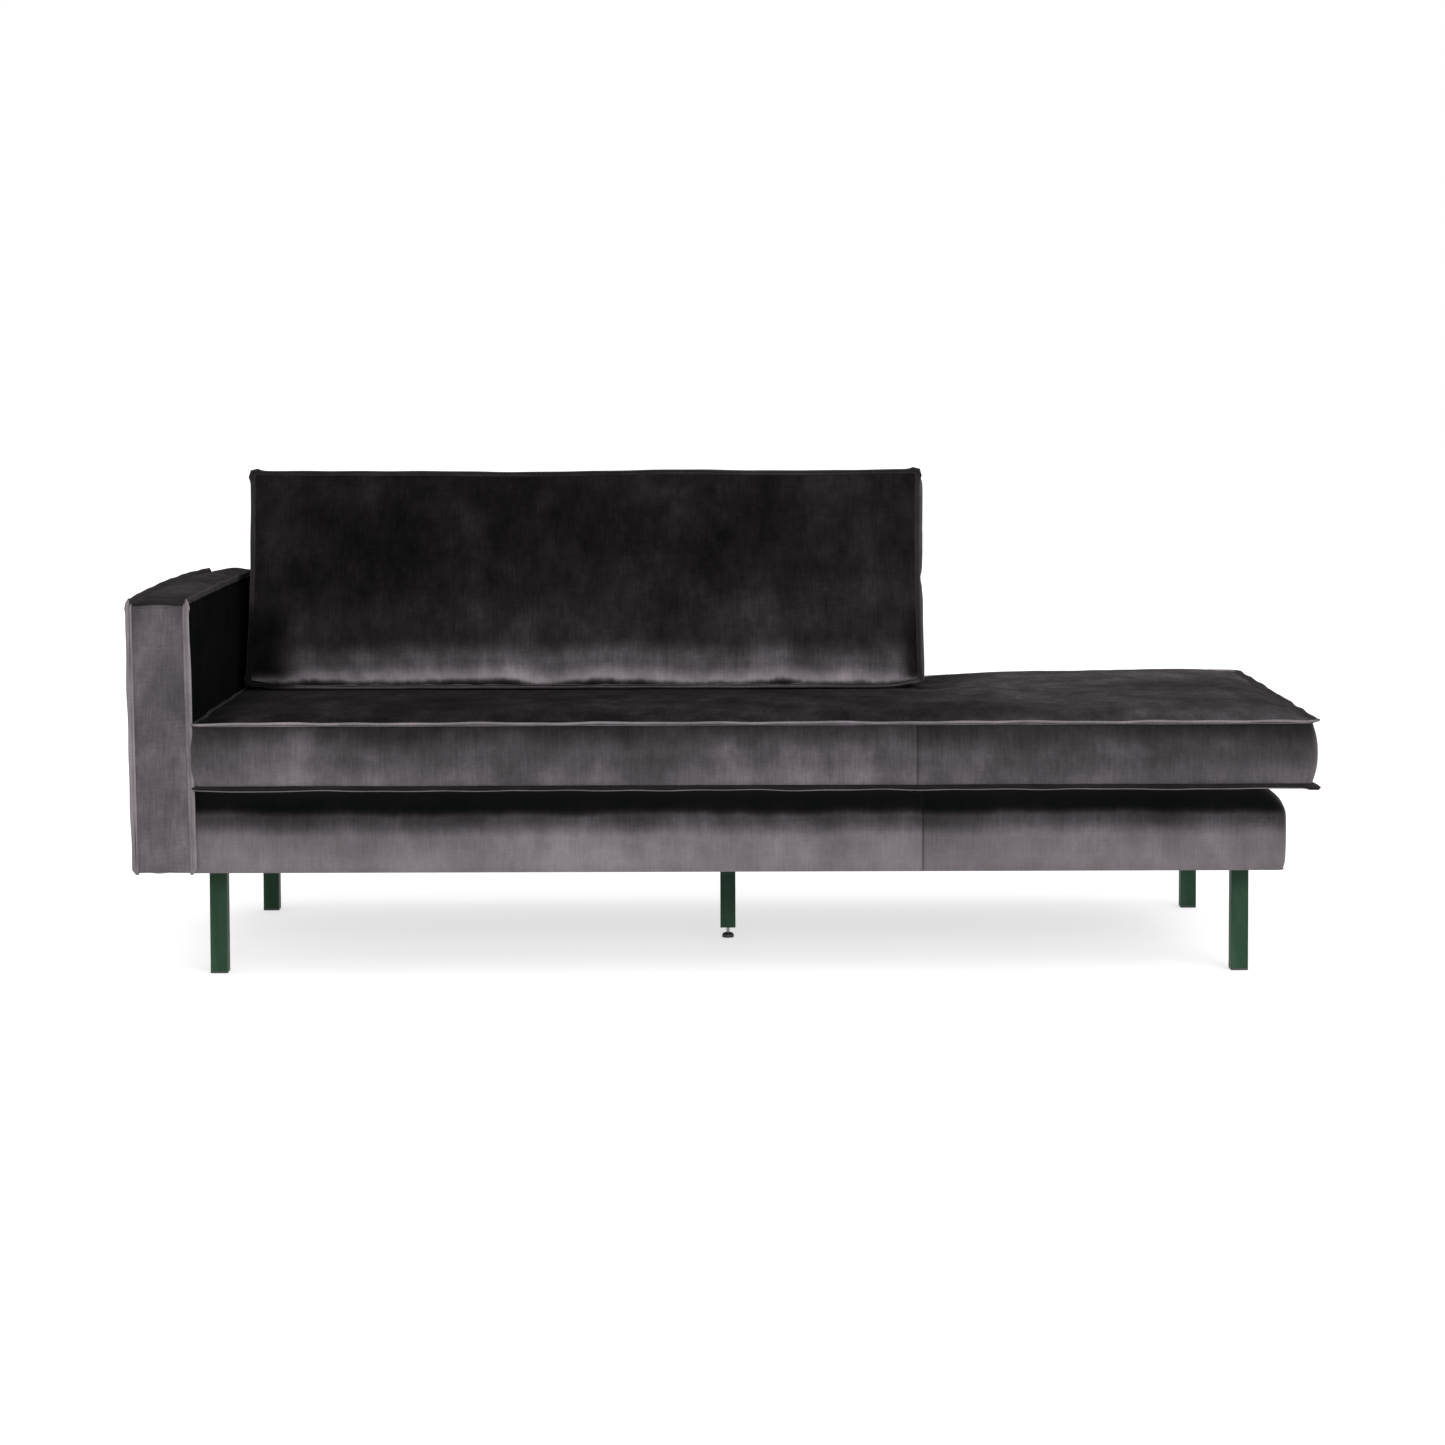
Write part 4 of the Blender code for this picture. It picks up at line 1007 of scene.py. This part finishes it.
def upholster():
    # Painted light on the flanges by facing: pale where they face front or rear, dark where they face up,
    # down or sideways.
    fin_facing_light = [(-0.52, 0.120, 0.5), (-0.12, 0.010, 0.7), (0.12, 0.010, 0.7), (0.75, 0.060, 0.5)]
    flange = {"sheen": 0.05, "glow": 0.5}
    # Every velvet here is one cloth with painted light and shade in its colour, set surface by surface.
    looks = {
        # arm band: painted light, paler low on the front
        "band": ([(0.20, 0.080, 0.75), (0.62, 0.058, 0.8)], 0.0, {"sheen": 0.25}),
        # base: painted light low on the front, painted shadow at the top under the seat cushion
        "base": (
            [(0.205, 0.090, 0.38), (0.250, 0.078, 0.45), (0.287, 0.022, 0.9), (0.304, 0.0020, 0.6)], 2.0,
            {"wander": 0.005, "sheen": 0.25, "join": (BASE_JOIN, 0.25)}),
        # seat band: painted shade at the top, painted light low down
        "seat_band": (
            [(0.345, 0.060, 0.7), (0.395, 0.034, 0.8), (0.445, 0.012, 0.9)], 1.0,
            {"wander": 0.014, "sheen": 0.25, "join": (SEAT_JOIN, 0.30)}),
        # seat top: painted shadow on the left by the arm, paler towards the right end
        "top": (
            [(0.20, 0.0085, 1.3), (0.60, 0.034, 0.9)], 3.0,
            {"field": "X", "wander": 0.05, "sheen": 0.008, "nook": (("X", ((-0.875, 1.0), (-0.800, 0.0))),)}),
        # arm top and inner face: darker copies of the cloth, painted shade
        "arm_top": ([(0.0, 0.014, 1.0)], 4.0, {"sheen": 0.02}),
        "inner_face": ([(0.0, 0.0026, 0.7)], 5.0, {"sheen": 0.004}),
        # back cushion front: a painted highlight in a band above its foot, painted shadow at both ends and
        # higher up
        "cushion": (
            [(0.455, 0.006, 0.6), (0.472, 0.200, 0.5), (0.505, 0.060, 0.9), (0.552, 0.0150, 1.1),
             (0.74, 0.0066, 1.2)], 7.0,
            {"wander": 0.009, "sheen": 0.08, "nook": (
                ("X", ((-0.865, 1.0), (-0.775, 0.0), (0.325, 0.0), (0.370, 0.8))),
                ("Z", ((0.460, 0.0), (0.492, 1.0), (0.560, 1.0), (0.630, 0.0))))}),
        # back cushion rear and band: their own painted tones
        "cushion_rear": ([(0.0, 0.030, 0.9)], 8.0, {"sheen": 0.15}),
        "cushion_band": ([(0.0, 0.014, 0.9)], 9.0, {"sheen": 0.12}),
        # flanges: painted light by facing, with a painted shadow by the arm on the seat's top flange and the
        # back cushion's
        "fin": (fin_facing_light, 11.0, {"field": "normal Y", **flange}),
        "fin_seat": (fin_facing_light, 11.0, {"field": "normal Y", **flange, "nook": (
            ("X", ((-0.880, 1.0), (-0.820, 0.0))), ("Y", ((-0.425, 0.0), (-0.395, 1.0))))}),
        # seat bottom flange: a painted highlight where it faces down
        "fin_low": ([(-0.45, 0.110, 0.5), (0.15, 0.007, 0.7)], 12.0, {"field": "normal Z", **flange}),
        "fin_dark": (
            [(-0.10, 0.013, 0.6), (0.90, 0.050, 0.6)], 13.0,
            {"field": "normal Z", **flange, "sheen": 0.10, "nook": (
                ("X", ((-0.850, 1.0), (-0.780, 0.0))), ("Z", ((0.560, 1.0), (0.630, 0.0))))}),
    }
    velvets = {name: velvet("velvet_" + name, *look[:2], **look[2]) for name, look in looks.items()}
    seat, seat_fins = seat_cushion(velvets)
    finish_piece(seat, "seat_cushion", ("seat_cover", "seat_core"))
    back, back_fins = back_cushion(velvets)
    finish_piece(back, "back_cushion", ("back_cushion_cover", "back_cushion_core"))
    arm, arm_fins = arm_cover(velvets)
    covered = ("arm_band", "arm_outer_panel", "arm_inner_panel", "arm_outer_foam", "arm_inner_foam")
    finish_piece(arm, "root", covered)
    finish_piece(base_cover(velvets["base"], deck_lining()), "root", ("base_cover",))
    finish_piece(back_cover(velvets["band"]), "root", ("back_cover",))
    for fins, body in ((seat_fins, "seat_cushion"), (back_fins, "back_cushion"), (arm_fins, "root")):
        for strip in fins:
            finish_piece(strip, body)


# ---- studio ----
CAMERA_PLACE = (0.0233, -5.7087, 1.0771)
CAMERA_DOWN, CAMERA_ROLL = 2.97, -0.169     # degrees


def area_light(name, place, target, size, power):
    light = bpy.data.lights.new(name, "AREA")
    light.shape = "RECTANGLE"
    light.size, light.size_y = size
    light.energy = power
    placed(name, light, place, (Vector(target) - Vector(place)).to_track_quat("-Z", "Y").to_euler())


def studio():
    scene = bpy.context.scene
    scene.world = bpy.data.worlds.new("studio")
    scene.world.use_nodes = True
    background = scene.world.node_tree.nodes["Background"]
    background.inputs["Color"].default_value = (1.0, 1.0, 1.0, 1.0)
    background.inputs["Strength"].default_value = 1.0
    bpy.ops.mesh.primitive_plane_add(size=60, location=(0, 0, -0.0004))
    floor = bpy.context.object
    floor.name = "floor"
    paper, nodes = new_material("pale_floor", (0.46, 0.46, 0.46), 0.9)
    mottle = nodes.noise(nodes.place(), 2.0)
    nodes.put("Base Color", nodes.blend(mottle, (0.45, 0.45, 0.45), (0.47, 0.47, 0.47)))
    nodes.put("Emission Color", (1.0, 1.0, 1.0, 1.0))
    nodes.put("Emission Strength", 0.62)
    floor.data.materials.append(paper)
    sun = bpy.data.lights.new("sky_glow", "SUN")
    sun.energy, sun.angle = 0.9, math.radians(80)
    placed("sky_glow", sun, turn=(math.radians(18), math.radians(8), 0.0))
    area_light("front_low", (0.6, -4.2, 1.7), (0.0, 0.0, 0.35), (4.0, 0.8), 95.0)
    area_light("front_right", (2.6, -3.0, 2.2), (0.0, 0.0, 0.4), (2.0, 2.0), 60.0)


def camera():
    data = bpy.data.cameras.new("camera")
    data.sensor_width, data.lens, data.clip_end = 36.0, 77.876, 200.0
    data.shift_x, data.shift_y = -0.00831, -0.14369
    tilt = Euler((math.radians(90 - CAMERA_DOWN), 0.0, 0.0)).to_matrix()
    roll = Euler((0.0, 0.0, math.radians(CAMERA_ROLL))).to_matrix()
    bpy.context.scene.camera = placed("camera", data, CAMERA_PLACE, (tilt @ roll).to_euler())


scene = bpy.context.scene
scene.view_settings.view_transform = "Standard"
camera()
studio()
finishes = paint_frame()
upholster()
trim(finishes)
